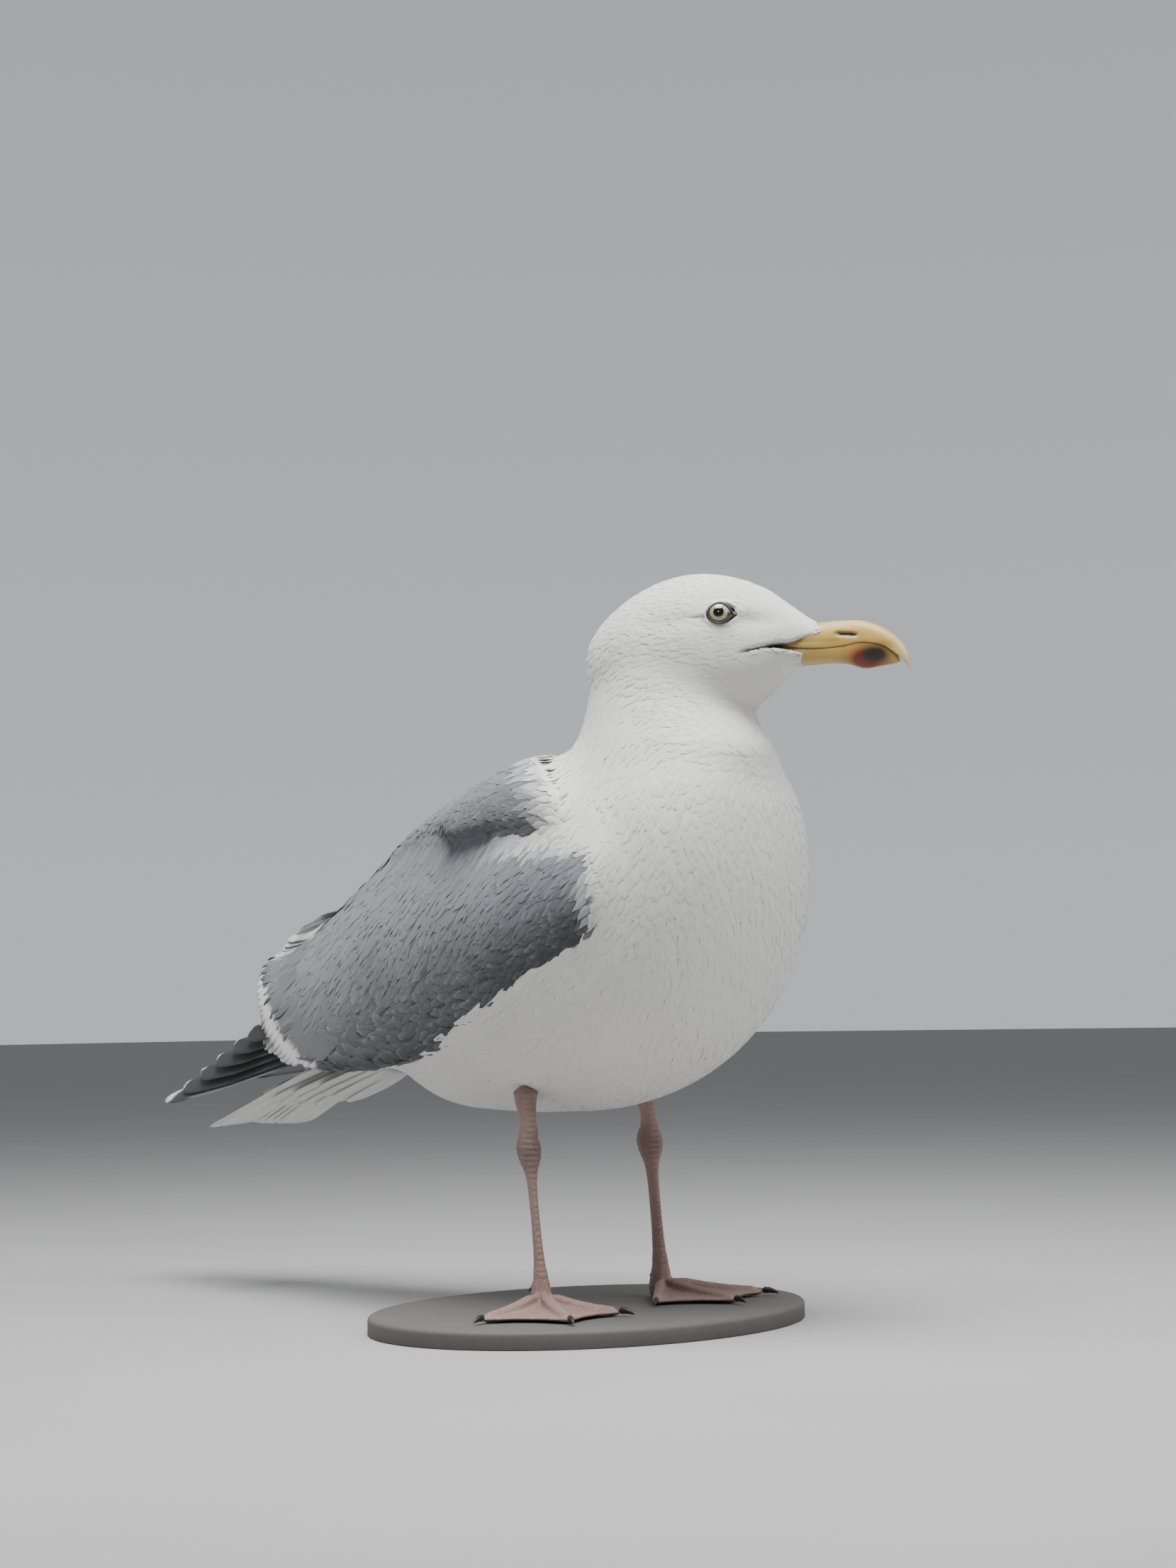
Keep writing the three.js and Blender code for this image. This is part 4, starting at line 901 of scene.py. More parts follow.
def make_vanes(name, roots, lie, colours, shape, material, slot):
    """Joined vanes, each a bent leaf from its root on the skin to its tip over the next ones.
    shape gives length, width, root_lift, tip_lift and most_lift as numbers or arrays; rows, columns,
    camber, ragged, tip_round and softness as numbers; and edge_colour, edge_share and tint."""
    points, normals, places, _ = roots
    count = len(points)
    rows, columns = shape["rows"], shape["columns"]

    def each(key):
        return np.broadcast_to(np.asarray(shape[key], float), (count,))[:, None]

    length = each("length") * rng.uniform(*SIZE_RANGE, (count, 1))
    width = each("width") * rng.uniform(*SIZE_RANGE, (count, 1))
    start = points + normals * each("root_lift")
    _, bent_normal = nearest_on_skin(points + lie * length)
    length = length * (0.45 + 0.55 * smooth_step(dot(normals, bent_normal), 0.6, 0.93))
    guess = points + lie * length
    ground, ground_normal = nearest_on_skin(guess)
    height = dot(guess - ground, ground_normal)
    tip_lift = each("tip_lift") * rng.uniform(0.75, 1.2, (count, 1))
    gap = np.linalg.norm(guess - ground, axis=1, keepdims=True)
    above = ground + (guess - ground) * np.minimum(1, each("most_lift") / np.maximum(gap, 1e-6))
    end = np.where(height < tip_lift, ground + ground_normal * tip_lift, above)
    chord = end - start
    chord_length = np.linalg.norm(chord, axis=1, keepdims=True)
    start_run = lie * chord_length
    end_run = unit(chord - ground_normal * dot(chord, ground_normal)) * chord_length
    s = np.linspace(0, 1, rows + 1)[None, :, None, None]
    t = np.linspace(-1, 1, columns + 1)[None, None, :, None]
    ragged = rng.uniform(0, 1, (count, 1, columns + 1, 1)) * shape["ragged"]
    reach = s * (1 - (shape["tip_round"] * t**2 + ragged) * s)

    def spread(v):
        return v[:, None, None, :]

    h00 = 2 * reach**3 - 3 * reach**2 + 1
    h10 = reach**3 - 2 * reach**2 + reach
    h01 = -2 * reach**3 + 3 * reach**2
    h11 = reach**3 - reach**2
    middle = h00 * spread(start) + h10 * spread(start_run) + h01 * spread(end) + h11 * spread(end_run)
    up = unit(spread(normals) * (1 - reach) + spread(ground_normal) * reach)
    run = unit(spread(start_run) * (1 - reach) + spread(end_run) * reach)
    across = unit(np.cross(up, run))
    rounding = np.sqrt(1 - np.clip((s - 0.55) / 0.62, 0, 1) ** 2)
    half = spread(width) / 2 * np.minimum(1, 0.45 + 1.3 * s) * rounding
    place = middle + across * t * half - up * (shape["camber"] * np.abs(t) ** 1.5 * half)
    starts = np.arange(count) * (rows + 1) * (columns + 1)
    faces = (grid_faces(rows + 1, columns + 1)[None] + starts[:, None, None]).reshape(-1, 4)
    thing = make_mesh(name, place.reshape(-1, 3), faces)
    shade = unit(up + across * t * 0.35 * shape["softness"] + run * 0.12 * (s - 0.4) + 0 * place)
    thing.data.normals_split_custom_set_from_vertices(shade.reshape(-1, 3))
    base = spread(colours)
    edge = np.clip(np.maximum(np.abs(t) ** 3 * 0.8, (s - 0.72) / 0.28) * (s > 0.3), 0, 1)
    edge = np.broadcast_to(edge * shape["edge_share"], place.shape[:3] + (1,))
    tint = rng.normal(1, shape["tint"], (count, 1, 1, 1))
    mixed = (base * (1 - edge) + spread(shape["edge_colour"]) * edge) * tint
    paint(thing, "coat_colour", np.clip(mixed.reshape(-1, 3), 0, 1))
    seed = rng.random((count, 1, 1, 1))
    own = np.concatenate(np.broadcast_arrays(t, s, seed), -1)
    tag(thing, "vane", np.broadcast_to(own, place.shape).reshape(-1, 3))
    u = places[:, None, None, 0] + (t[..., 0] * 0.5) * PATCH
    v = places[:, None, None, 1] + (s[..., 0] - 0.5) * PATCH
    corner_map = np.stack(np.broadcast_arrays(u, v), -1).reshape(-1, 2)
    layer = thing.data.uv_layers.new(name="OFBake")
    layer.data.foreach_set("uv", corner_map[faces.ravel()].astype(np.float32).ravel())
    return finish_piece(thing, material, slot)


# ------------------------------------------------------------------ materials


def new_material(name, roughness, **constants):
    material = bpy.data.materials.new(name)
    material.use_nodes = True
    tree = material.node_tree
    shader = tree.nodes["Principled BSDF"]
    shader.inputs["Roughness"].default_value = roughness
    for socket, value in constants.items():
        shader.inputs[socket.replace("_", " ")].default_value = value
    return material, tree, shader


def add(tree, kind, **settings):
    """A node with its own settings, or constants on its sockets."""
    node = tree.nodes.new(kind)
    for key, value in settings.items():
        if hasattr(node, key):
            setattr(node, key, value)
        else:
            node.inputs[key.replace("_", " ")].default_value = value
    return node


def attribute(tree, name):
    return add(tree, "ShaderNodeAttribute", attribute_name=name)


def parts_of(tree, vector):
    node = tree.nodes.new("ShaderNodeSeparateXYZ")
    tree.links.new(vector, node.inputs[0])
    return node.outputs["X"], node.outputs["Y"], node.outputs["Z"]


def vector_of(tree, *values):
    node = tree.nodes.new("ShaderNodeCombineXYZ")
    for socket, value in zip(node.inputs, values):
        tree.links.new(value, socket)
    return node.outputs[0]


def texture(tree, kind, result, where=None, **settings):
    """A texture read at a vector, or laid by the object's own coordinates."""
    node = add(tree, f"ShaderNodeTex{kind}", **settings)
    where = where or tree.nodes.new("ShaderNodeTexCoord").outputs["Object"]
    tree.links.new(where, node.inputs["Vector"])
    return node.outputs[result]


def maths(tree, operation, a, b=None):
    node = tree.nodes.new("ShaderNodeMath")
    node.operation = operation
    for socket, value in zip(node.inputs, (a, b)):
        if isinstance(value, (int, float)):
            socket.default_value = value
        elif value is not None:
            tree.links.new(value, socket)
    return node.outputs[0]


def weighted(tree, constant, *terms):
    """A constant, with each value times its weight added."""
    total = constant
    for value, weight in terms:
        total = maths(tree, "ADD", maths(tree, "MULTIPLY", value, weight), total)
    return total


def colour_ramp(tree, value, *stops):
    """A colour read at a value, from stops of (place, colour)."""
    node = tree.nodes.new("ShaderNodeValToRGB")
    while len(node.color_ramp.elements) < len(stops):
        node.color_ramp.elements.new(0.5)
    for element, (place, colour) in zip(node.color_ramp.elements, stops):
        element.position = place
        element.color = (*colour, 1)
    tree.links.new(value, node.inputs["Fac"])
    return node.outputs["Color"]


def colour_into(tree, socket, colour, factor):
    """Leads a colour, with each channel multiplied by a number, into a socket."""
    node = tree.nodes.new("ShaderNodeVectorMath")
    node.operation = "SCALE"
    tree.links.new(colour, node.inputs[0])
    tree.links.new(factor, node.inputs["Scale"])
    tree.links.new(node.outputs[0], socket)


def bump(tree, shader, height, distance, strength=1.0):
    node = add(tree, "ShaderNodeBump", Strength=strength, Distance=distance)
    tree.links.new(height, node.inputs["Height"])
    tree.links.new(node.outputs["Normal"], shader.inputs["Normal"])


def feather_material(name, roughness, contrast, streaks, barbs=16.0, height=0.0001):
    """Vanes: their painted colour, with fine slanted barbs and soft streaks along the feather."""
    material, tree, shader = new_material(name, roughness, Sheen_Weight=0.15, Sheen_Roughness=0.5)
    t, s, seed = parts_of(tree, attribute(tree, "vane").outputs["Vector"])
    across = maths(tree, "ABSOLUTE", t)
    turns = weighted(tree, 0.0, (s, barbs), (across, -0.35 * barbs), (seed, 40.0))
    wave = maths(tree, "SINE", maths(tree, "MULTIPLY", turns, 6.2832))
    shift = maths(tree, "MULTIPLY", seed, 57.0)
    where = vector_of(tree, maths(tree, "ADD", maths(tree, "MULTIPLY", t, streaks), shift),
                      maths(tree, "MULTIPLY", s, 1.6), shift)
    noise = texture(tree, "Noise", "Fac", where, Scale=1.0, Detail=3.0)
    rough = weighted(tree, -1.2, (noise, 2.4))
    factor = weighted(tree, 1.0, (wave, 0.22 * contrast), (rough, contrast))
    colour_into(tree, shader.inputs["Base Color"], attribute(tree, "coat_colour").outputs["Color"], factor)
    bump(tree, shader, maths(tree, "ADD", wave, rough), height, 0.5)
    return material


def skin_material():
    material, tree, shader = new_material("skin_under_feathers", 0.9)
    noise = texture(tree, "Noise", "Fac", Scale=600.0, Detail=3.0)
    factor = weighted(tree, 0.86, (noise, 0.14))
    colour_into(tree, shader.inputs["Base Color"], attribute(tree, "coat_colour").outputs["Color"], factor)
    bump(tree, shader, noise, 0.0006)
    return material


def horn_material(name, roughness, height, scale):
    """Horn and bare skin: a painted colour with fine streaks, blotches and a little wear."""
    material, tree, shader = new_material(name, roughness, Coat_Weight=0.15, Coat_Roughness=0.3)
    fine = texture(tree, "Noise", "Fac", Scale=scale, Detail=4.0)
    broad = texture(tree, "Noise", "Fac", Scale=scale * 0.18, Detail=2.0)
    factor = weighted(tree, 0.82, (fine, 0.16), (broad, 0.20))
    colour_into(tree, shader.inputs["Base Color"], attribute(tree, "horn_colour").outputs["Color"], factor)
    tree.links.new(weighted(tree, roughness - 0.12, (fine, 0.25)), shader.inputs["Roughness"])
    bump(tree, shader, fine, height)
    return material


def scale_material():
    """Bare legs: small scales over a painted colour."""
    material, tree, shader = new_material("leg_scales", 0.55, Coat_Weight=0.08, Coat_Roughness=0.4)
    cells = texture(tree, "Voronoi", "Distance", feature="DISTANCE_TO_EDGE", Scale=720.0)
    noise = texture(tree, "Noise", "Fac", Scale=260.0, Detail=3.0)
    groove = maths(tree, "MINIMUM", maths(tree, "MULTIPLY", cells, 7.0), 1.0)
    factor = weighted(tree, 0.62, (groove, 0.22), (noise, 0.34))
    colour_into(tree, shader.inputs["Base Color"], attribute(tree, "horn_colour").outputs["Color"], factor)
    bump(tree, shader, groove, 0.00012, 0.8)
    return material


WHITE_FEATHERS = feather_material("white_feathers", 0.9, 0.035, 3.0, 12.0, 0.00006)
GREY_FEATHERS = feather_material("grey_feathers", 0.82, 0.20, 3.6, 14.0)
LONG_FEATHERS = feather_material("long_feathers", 0.6, 0.12, 5.0, 46.0, 0.00015)
HORN = horn_material("bill_horn", 0.42, 0.00008, 900.0)
CLAW_HORN = horn_material("claw_horn", 0.4, 0.00005, 900.0)
LID_SKIN = horn_material("lid_skin", 0.55, 0.0001, 1500.0)
SCALES = scale_material()
finish_piece(skin, skin_material(), "plumage_white",
             "head", "neck", "trunk", "mantle", "wing_left", "wing_right")

# ------------------------------------------------------------------ coats by region


def coat_size(middles, region):
    """Size of the small feathers at places on the skin; they are about this far apart."""
    h = bird_to_head(middles)
    p, q, _ = eye_place(h)
    on_head = smooth_step(h[:, 0], -46, -20) * smooth_step(h[:, 2], -52, -24)
    face = smooth_step(h[:, 0], 8, 48)
    by_eye = 1 - smooth_step(almond_share(p, q), 1.4, 3.2)
    size = 3.0 - 0.9 * on_head - 0.8 * face * on_head - 0.3 * by_eye * on_head
    size = size + 0.6 * smooth_step(-middles[:, 0], 40, 150)
    size = np.where(region == 3, 3.3 + smooth_step(-middles[:, 0], -20, 120), size)
    return np.where(region > 3, 2.8 + 1.6 * smooth_step(-middles[:, 0], -50, 60), size)


def free_of_coat(middles):
    """Where no small feather grows: under the horn, on the eyes and along the gape."""
    h = bird_to_head(middles)
    p, q, out = eye_place(h)
    eye = (almond_share(p, q) < 1.46) & (out > -1)
    gape = (np.abs(over_gape(h)) < 1.2) & (h[:, 0] > 36) & (h[:, 0] < 62)
    return (bare_horn(h) > 0.3) | eye | gape


face_spacing = coat_size(face_middles, face_region)
open_faces = ~free_of_coat(face_middles)
h_faces = bird_to_head(face_middles)
face_headness = smooth_step(h_faces[:, 0], -50, -30) * smooth_step(h_faces[:, 2], -46, -30)
is_head = open_faces & (face_region < 3) & (face_headness > 0.5)
is_body = open_faces & (face_region < 3) & ~is_head
is_left_of_head = h_faces[:, 1] > 0
on_neck = face_middles[:, 2] - 0.25 * face_middles[:, 0] > 205
COATS = {
    "coat_head_left": is_head & is_left_of_head,
    "coat_head_right": is_head & ~is_left_of_head,
    "coat_neck": is_body & on_neck,
    "coat_breast": is_body & ~on_neck & (face_middles[:, 0] > 20),
    "coat_belly": is_body & ~on_neck & (face_middles[:, 0] <= 20),
    "coat_mantle": open_faces & (face_region == 3),
    "coat_wing_left": open_faces & (face_region == 4),
    "coat_wing_right": open_faces & (face_region == 5),
}


def short_on_face(points):
    """Feathers are shorter by the eye, the horn and the gape."""
    h = bird_to_head(points)
    p, q, out = eye_place(h)
    by_eye = (1 - smooth_step(almond_share(p, q), 1.4, 2.6)) * (out > -3)
    by_horn = smooth_step(h[:, 0], 44, 60) * (h[:, 2] > -16)
    by_gape = bell(over_gape(h), 0, 4.0) * smooth_step(h[:, 0], 34, 40)
    return 1 - 0.45 * np.maximum(np.maximum(by_eye, by_horn), by_gape)


def dress(name, chosen):
    """Covers the chosen faces of the skin with small feathers."""
    roots = scatter(chosen, face_spacing)
    points, normals, _, region = roots
    count = len(points)
    size = coat_size(points, region)
    is_grey = (region > 2).all()
    lie = lie_at(points, normals, region)
    stray = 0.13 if is_grey else 0.09
    lie = unit(lie + np.cross(normals, lie) * rng.normal(0, 1, (count, 1)) * stray)
    colours = markings_and_painted_shade(points, region)
    dark = 1 - smooth_step(colours[:, 0], 0.35, 0.7)
    pale = np.clip(rng.normal(0.35, 0.35, (count, 1)), 0, 1) * dark[:, None]
    gaps = distances(points)
    to_wing = gaps[4:].min(0)
    if is_grey:
        by_flank = (1 - smooth_step(gaps[:3].min(0), 2, 9)) * (region > 3) * (points[:, 2] < 185)
        by_wing = bell(to_wing, 0, 9.0) * (region == 3)
        length = size * (3.4 + 1.5 * dark) * (1 - 0.3 * by_flank) * (1 - 0.35 * by_wing)
        tip_lift = (0.10 + 0.05 * size) * (0.6 + 0.4 * dark)
        shape = {"width": size * 1.35, "rows": 5, "columns": 4, "tint": 0.05, "softness": 0.8,
                 "edge_share": 0.45, "camber": 0.12}
    else:
        face = smooth_step(bird_to_head(points)[:, 0], 10, 40)
        short = short_on_face(points)
        on_edge = bell(to_wing, 0, 6.0) * (points[:, 0] < 50) * (points[:, 2] < 180)
        length = size * (4.2 - 0.5 * face) * short * (1 + 0.7 * on_edge)
        tip_lift = (0.05 + 0.045 * size) * (1 - 0.35 * face) * short + 0.25 * on_edge
        shape = {"width": size * 1.45, "rows": 4, "columns": 3, "tint": 0.010, "softness": 0.5,
                 "edge_share": 0.5, "camber": 0.08}
    shape |= {"length": length, "root_lift": 0.03, "tip_lift": tip_lift, "most_lift": 1.5 * tip_lift + 0.1,
              "ragged": 0.2, "tip_round": 0.26, "edge_colour": colours + (PALE_GREY - colours) * pale}
    look = (GREY_FEATHERS, "plumage_grey") if is_grey else (WHITE_FEATHERS, "plumage_white")
    return make_vanes(name, roots, lie, colours, shape, *look)


for coat_name, coat_faces in COATS.items():
    dress(coat_name, coat_faces)

# ------------------------------------------------------------------ long feathers


def blade(centre, up, width, colour_at, columns=8, thick=0.5, root_share=0.55, skew=0.0, tip_share=0.2,
          droop=0.10):
    """One long feather round a centre line as points, faces, colours and own places: a thin closed vane with
    a raised shaft and a rounded tip."""
    s = blade_rows(len(centre) - 1)[:, None]
    t = np.linspace(-1, 1, columns + 1)[None, :]
    along = unit(np.gradient(centre, axis=0))
    up = unit(up - along * dot(up, along))
    side = np.cross(up, along)
    length = np.linalg.norm(np.diff(centre, axis=0), axis=1).sum()
    tip_shape = np.sqrt(1 - np.clip((s - 1 + tip_share) / tip_share, 0, 1) ** 2.4)
    half = width / 2 * np.minimum(1, root_share + 1.1 * s) * np.maximum(tip_shape, 0.08)
    split = (0.005 * rng.normal(0, 1, (1, columns + 1)) + skew * (t - 1) / 2) * s**8
    camber = -droop * half * t**2
    shaft = 0.3 * bell(t, 0, 0.16) * (1 - 0.8 * s)
    body = np.clip(thick * (1 - 0.5 * s) * (1 - 0.7 * np.abs(t) ** 3), 0.12, None)
    flat = centre[:, None] + along[:, None] * (split * length)[..., None]
    flat = flat + side[:, None] * (half * t)[..., None]
    sheets = [flat + up[:, None] * (camber + sign * (body / 2 + shaft))[..., None] for sign in (1, -1)]
    points, faces = closed_slab(*sheets)
    shape = flat.shape[:2]
    colours = colour_at(np.broadcast_to(s, shape), np.broadcast_to(t, shape))
    own = np.stack(np.broadcast_arrays(t, s, np.full(shape, rng.random())), -1)
    return points, faces, np.tile(colours.reshape(-1, 3), (2, 1)), np.tile(own.reshape(-1, 3), (2, 1))


def blade_rows(rows):
    """Shares along a long feather, closer together towards its tip."""
    return 1 - (1 - np.linspace(0, 1, rows + 1)) ** 1.7


def straight(root, tip, up, rows, sag=0.0):
    """Centre line and upward directions of a straight long feather."""
    s = blade_rows(rows)[:, None]
    centre = root + (tip - root) * s - np.array([0, 0, sag]) * s * (1 - s) * 4
    return centre, np.broadcast_to(up, centre.shape)


def join_blades(name, blades, slot, *nodes):
    points, faces, colours, own = zip(*blades)
    starts = np.cumsum([0] + [len(part) for part in points])
    faces = np.vstack([part + start for part, start in zip(faces, starts)])
    thing = make_mesh(name, np.vstack(points), faces)
    paint(thing, "coat_colour", np.clip(np.vstack(colours), 0, 1))
    tag(thing, "vane", np.vstack(own))
    return finish_piece(thing, LONG_FEATHERS, slot, *nodes)


def banded(*stops):
    """Rule for a feather's colour from (share, colour) stops along it, a little darker on the shaft."""
    shares = [share for share, _ in stops]

    def colour_at(s, t):
        channels = [np.interp(s, shares, [colour[k] for _, colour in stops]) for k in range(3)]
        return np.stack(channels, -1) * (1 - 0.12 * bell(t, 0, 0.1))[..., None]

    return colour_at


def primaries(side, name):
    """The folded primaries, one above the other, each shorter than the one below it."""
    stack = PRIMARIES[name]
    root, tip = np.array(stack["root"], float), np.array(stack["tip"], float)
    whole = np.linalg.norm(tip - root) - PRIMARIES["inside"]
    along = unit(tip - root)
    up = np.array([0, side * np.sin(PRIMARIES["roll"]), np.cos(PRIMARIES["roll"])])
    brown = GREY * 0.3
    lowest = banded((0, GREY), (0.6, GREY * 0.95), (0.76, GREY * 0.7), (0.80, BLACK), (0.93, BLACK),
                    (0.945, WHITE), (1, WHITE))
    others = banded((0, brown), (0.3, brown * 0.6), (0.42, BLACK), (0.972, BLACK), (0.980, WHITE), (1, WHITE))
    blades = []
    for k in range(stack["count"]):
        start = root + np.array([0, side * 0.6 * k, PRIMARIES["rise"] * k])
        end = start + along * (whole - stack["shorten"] * k)
        end = end + np.array([0, 0, (stack["tip_rise"] - PRIMARIES["rise"]) * k])
        line = straight(start + along * (18 + 7 * k), end, up, 40)
        blades.append(blade(*line, PRIMARIES["width"] - 0.8 * k, others if k else lowest, thick=0.9,
                            root_share=0.35, skew=0.03 if k else 0, droop=0.32 if k else 0.10))
    return join_blades(f"primary_feathers_{name}", blades, "plumage_black", f"primaries_{name}")


primaries(1, "left")
primaries(-1, "right")


def tail():
    """A nearly shut fan of white feathers, the middle pair on top."""
    blades = []
    white = banded((0, WHITE * 0.96), (0.8, WHITE), (1, WHITE * 1.02))
    fall, level = np.sin(TAIL["slope"]), np.cos(TAIL["slope"])
    for k in range(TAIL["pairs"]):
        share = (k + 0.5) / TAIL["pairs"]
        length = TAIL["length"] * (1 - 0.03 * share**2)
        for side in (-1, 1):
            turn = side * TAIL["fan"] * share
            root = np.array(TAIL["root"], float) + [0, side * TAIL["root_spread"] * share, -TAIL["fall"] * k]
            tip = root + length * np.array([-level * np.cos(turn), level * np.sin(turn), -fall])
            up = np.array([-fall, side * 0.10 * share, level])
            line = straight(root, tip, up, 30, 1.0)
            blades.append(blade(*line, TAIL["width"], white, thick=0.7, tip_share=0.14))
    return join_blades("tail_feathers", blades, "plumage_white", "tail")


tail()


def undertail_coverts():
    """Soft white feathers that fill the corner between the belly and the underside of the tail."""
    blades = []
    down = banded((0, WHITE * 0.97), (1, WHITE))
    for row, (x, z, back, drop) in enumerate(COVERTS["rows"]):
        for y in np.linspace(-COVERTS["half"], COVERTS["half"], COVERTS["across"]) + 2.5 * (row % 2):
            root = np.array([x, y * (0.85 - 0.1 * row), z + 0.010 * y**2])
            tip = root + [-back * rng.uniform(0.92, 1.05), 0.12 * y, -drop + 0.004 * y**2]
            line = straight(root, tip, np.array([-0.35, 0.012 * y, -0.9]), 16, 1.5)
            blades.append(blade(*line, COVERTS["width"], down, columns=6, thick=0.4, tip_share=0.4))
    return join_blades("undertail_coverts", blades, "plumage_white")


undertail_coverts()


def over_wing(side, x, z, inset):
    """Points over a folded wing at places given from the side, and the way out of the wing there."""
    low, top = wing_edges(x)
    u, v = wing_length_share(x), np.clip((z - low) / (top - low), 0, 1)
    out = unit(np.cross(wing_run(side, u, v, inset, du=0.02), wing_run(side, u, v, inset, dv=0.03)))
    return wing_surface(side, u, v, inset), out * np.sign(out[:, 1:2] * side)


def wing_fringe(side, name):
    """The tertials and secondaries, whose white tips make the rear and lower edge of the folded wing."""
    line = catmull(FRINGE["tips"], np.linspace(0, 1, FRINGE["count"]))
    s = blade_rows(24)
    blades = []
    for k, tip in enumerate(line):
        share = k / (FRINGE["count"] - 1)
        length = FRINGE["length"] * (1 - 0.25 * share) * rng.uniform(0.9, 1.08)
        lie = unit(np.array([np.interp(share, [0, 0.5, 1], [-1, -0.75, -0.9]),
                             np.interp(share, [0, 0.2, 0.5, 1], [-0.25, -0.3, -0.7, -0.45])]))
        x, z = (tip + lie * rng.uniform(-3.4, 1.4))[:, None] - lie[:, None] * length * (1 - s)
        centre, out = over_wing(side, x, z, 0.9)
        beyond = np.stack([x - centre[:, 0], np.zeros_like(x), z - centre[:, 2]], -1)
        centre = centre + 0.85 * beyond * smooth_step(s, 0.45, 0.8)[:, None]
        centre = centre + out * (-0.9 + 1.4 * smooth_step(s, 0, 0.4)[:, None])
        # The wing's grey here, with its painted shade, so the blades match the coat beside them.
        ground = markings_and_painted_shade(centre, np.full(len(centre), 4 if side > 0 else 5))
        white = smooth_step(s + rng.uniform(-0.03, 0.03), 0.74, 0.92)[:, None]
        tones = ground * (1 - white) + WHITE * white

        def colour_at(along, across, tones=tones):
            streak = 1 - 0.16 * bell(across, 0, 0.09) - 0.06 * np.abs(across)
            return tones[:, None, :] * streak[..., None]

        up = out + FRINGE["roll"] * side * np.cross(out, unit(np.gradient(centre, axis=0)))
        blades.append(blade(centre, up, FRINGE["width"] - 2.5 * share, colour_at, thick=0.3,
                            skew=rng.uniform(-0.04, 0.05), tip_share=0.42))
    return join_blades(f"tertial_feathers_{name}", blades, "plumage_grey")


wing_fringe(1, "left")
wing_fringe(-1, "right")

# ------------------------------------------------------------------ bill


def nostril(x, z, length, height):
    return np.exp(-(((x - 81.2) / length) ** 4)) * bell(z + 0.13 * (x - 81), 1.9, height)


def layered(colour, *layers):
    """A colour under layers of (tint, share)."""
    for tint, share in layers:
        share = np.clip(share, 0, 1)[:, None]
        colour = colour * (1 - share) + np.array(tint) * share
    return colour


def horn_tint_and_painted_light(h, upper):
    """The bill's colour in the head's frame: yellow horn, with a red and dusky patch about the gonys, a
    painted highlight along the culmen and below the nostril, and painted shade in the nostril.
    """
    x, _, z = h.T
    colour = layered(
        np.tile(BILL_YELLOW, (len(h), 1)),
        ((0.36, 0.27, 0.13), 0.7 * (1 - smooth_step(x, 52, 74))),
        ((0.58, 0.47, 0.24), 0.8 * smooth_step(x, 100, 107)),
        # painted highlight along the top of the culmen
        ((0.66, 0.56, 0.33), 0.55 * smooth_step(z, 6.2, 8.2) * smooth_step(x, 66, 76)))
    if upper:
        return layered(
            colour,
            ((0.10, 0.06, 0.03), 0.7 * bell(x, 96, 5.5) * bell(z, -4.6, 2.2)),
            # painted shade in the nostril's opening
            ((0.02, 0.014, 0.01), 1.3 * nostril(x, z, 5.2, 0.85)),
            # painted highlight below the nostril
            ((0.62, 0.55, 0.40), 0.8 * bell(x, 85.6, 1.6) * bell(z, 0.2, 0.6)),
            ((0.20, 0.13, 0.05), 0.35 * bell(z + 0.05 * (x - 60), 0.6, 0.7) * (x < 78)),
            ((0.30, 0.20, 0.08), 0.45 * bell(z, -2.6, 1.0) * (x < 90)))
    return layered(
        colour,
        ((0.24, 0.03, 0.014), 1.5 * bell(x, 89.5, 8.0) * bell(z, -9.6, 4.8)),
        ((0.03, 0.018, 0.014), 1.5 * bell(x, 94, 7.0) * bell(z, -8.0, 4.2) - 0.1),
        ((0.36, 0.26, 0.12), 0.4 * smooth_step(z, -5, -2) * (1 - smooth_step(x, 60, 84))))


def build_bill(name, table, square, node, upper):
    """One half of the bill, with its nostril and the edge of its plate, or with its groove."""
    h = upright_rings(table, 150, 72, square)
    x, y, z = np.moveaxis(h, -1, 0)
    if upper:
        ridge = bell(z + 0.13 * (x - 81), 1.9, 2.4) * bell(x, 76, 9)
        plate_edge = bell(z + 0.10 * (x - 60), 0.2, 0.5) * (1 - smooth_step(x, 76, 90))
        dent = 1.9 * nostril(x, z, 4.8, 0.62) - 0.12 * ridge + 0.22 * plate_edge
    else:
        dent = 0.15 * bell(z, -6.2, 0.8) * (1 - smooth_step(x, 72, 86))
    points, faces = closed_tube(np.stack([x, y - np.sign(y) * dent, z], -1))
    thing = make_mesh(name, head_to_bird(points), faces)
    paint(thing, "horn_colour", horn_tint_and_painted_light(points, upper))
    return finish_piece(thing, HORN, "bill", node)


build_bill("bill_upper_horn", UPPER_BILL, 0.82, "bill_upper", True)
build_bill("bill_lower_horn", LOWER_BILL, 0.88, "bill_lower", False)

# ------------------------------------------------------------------ eyes


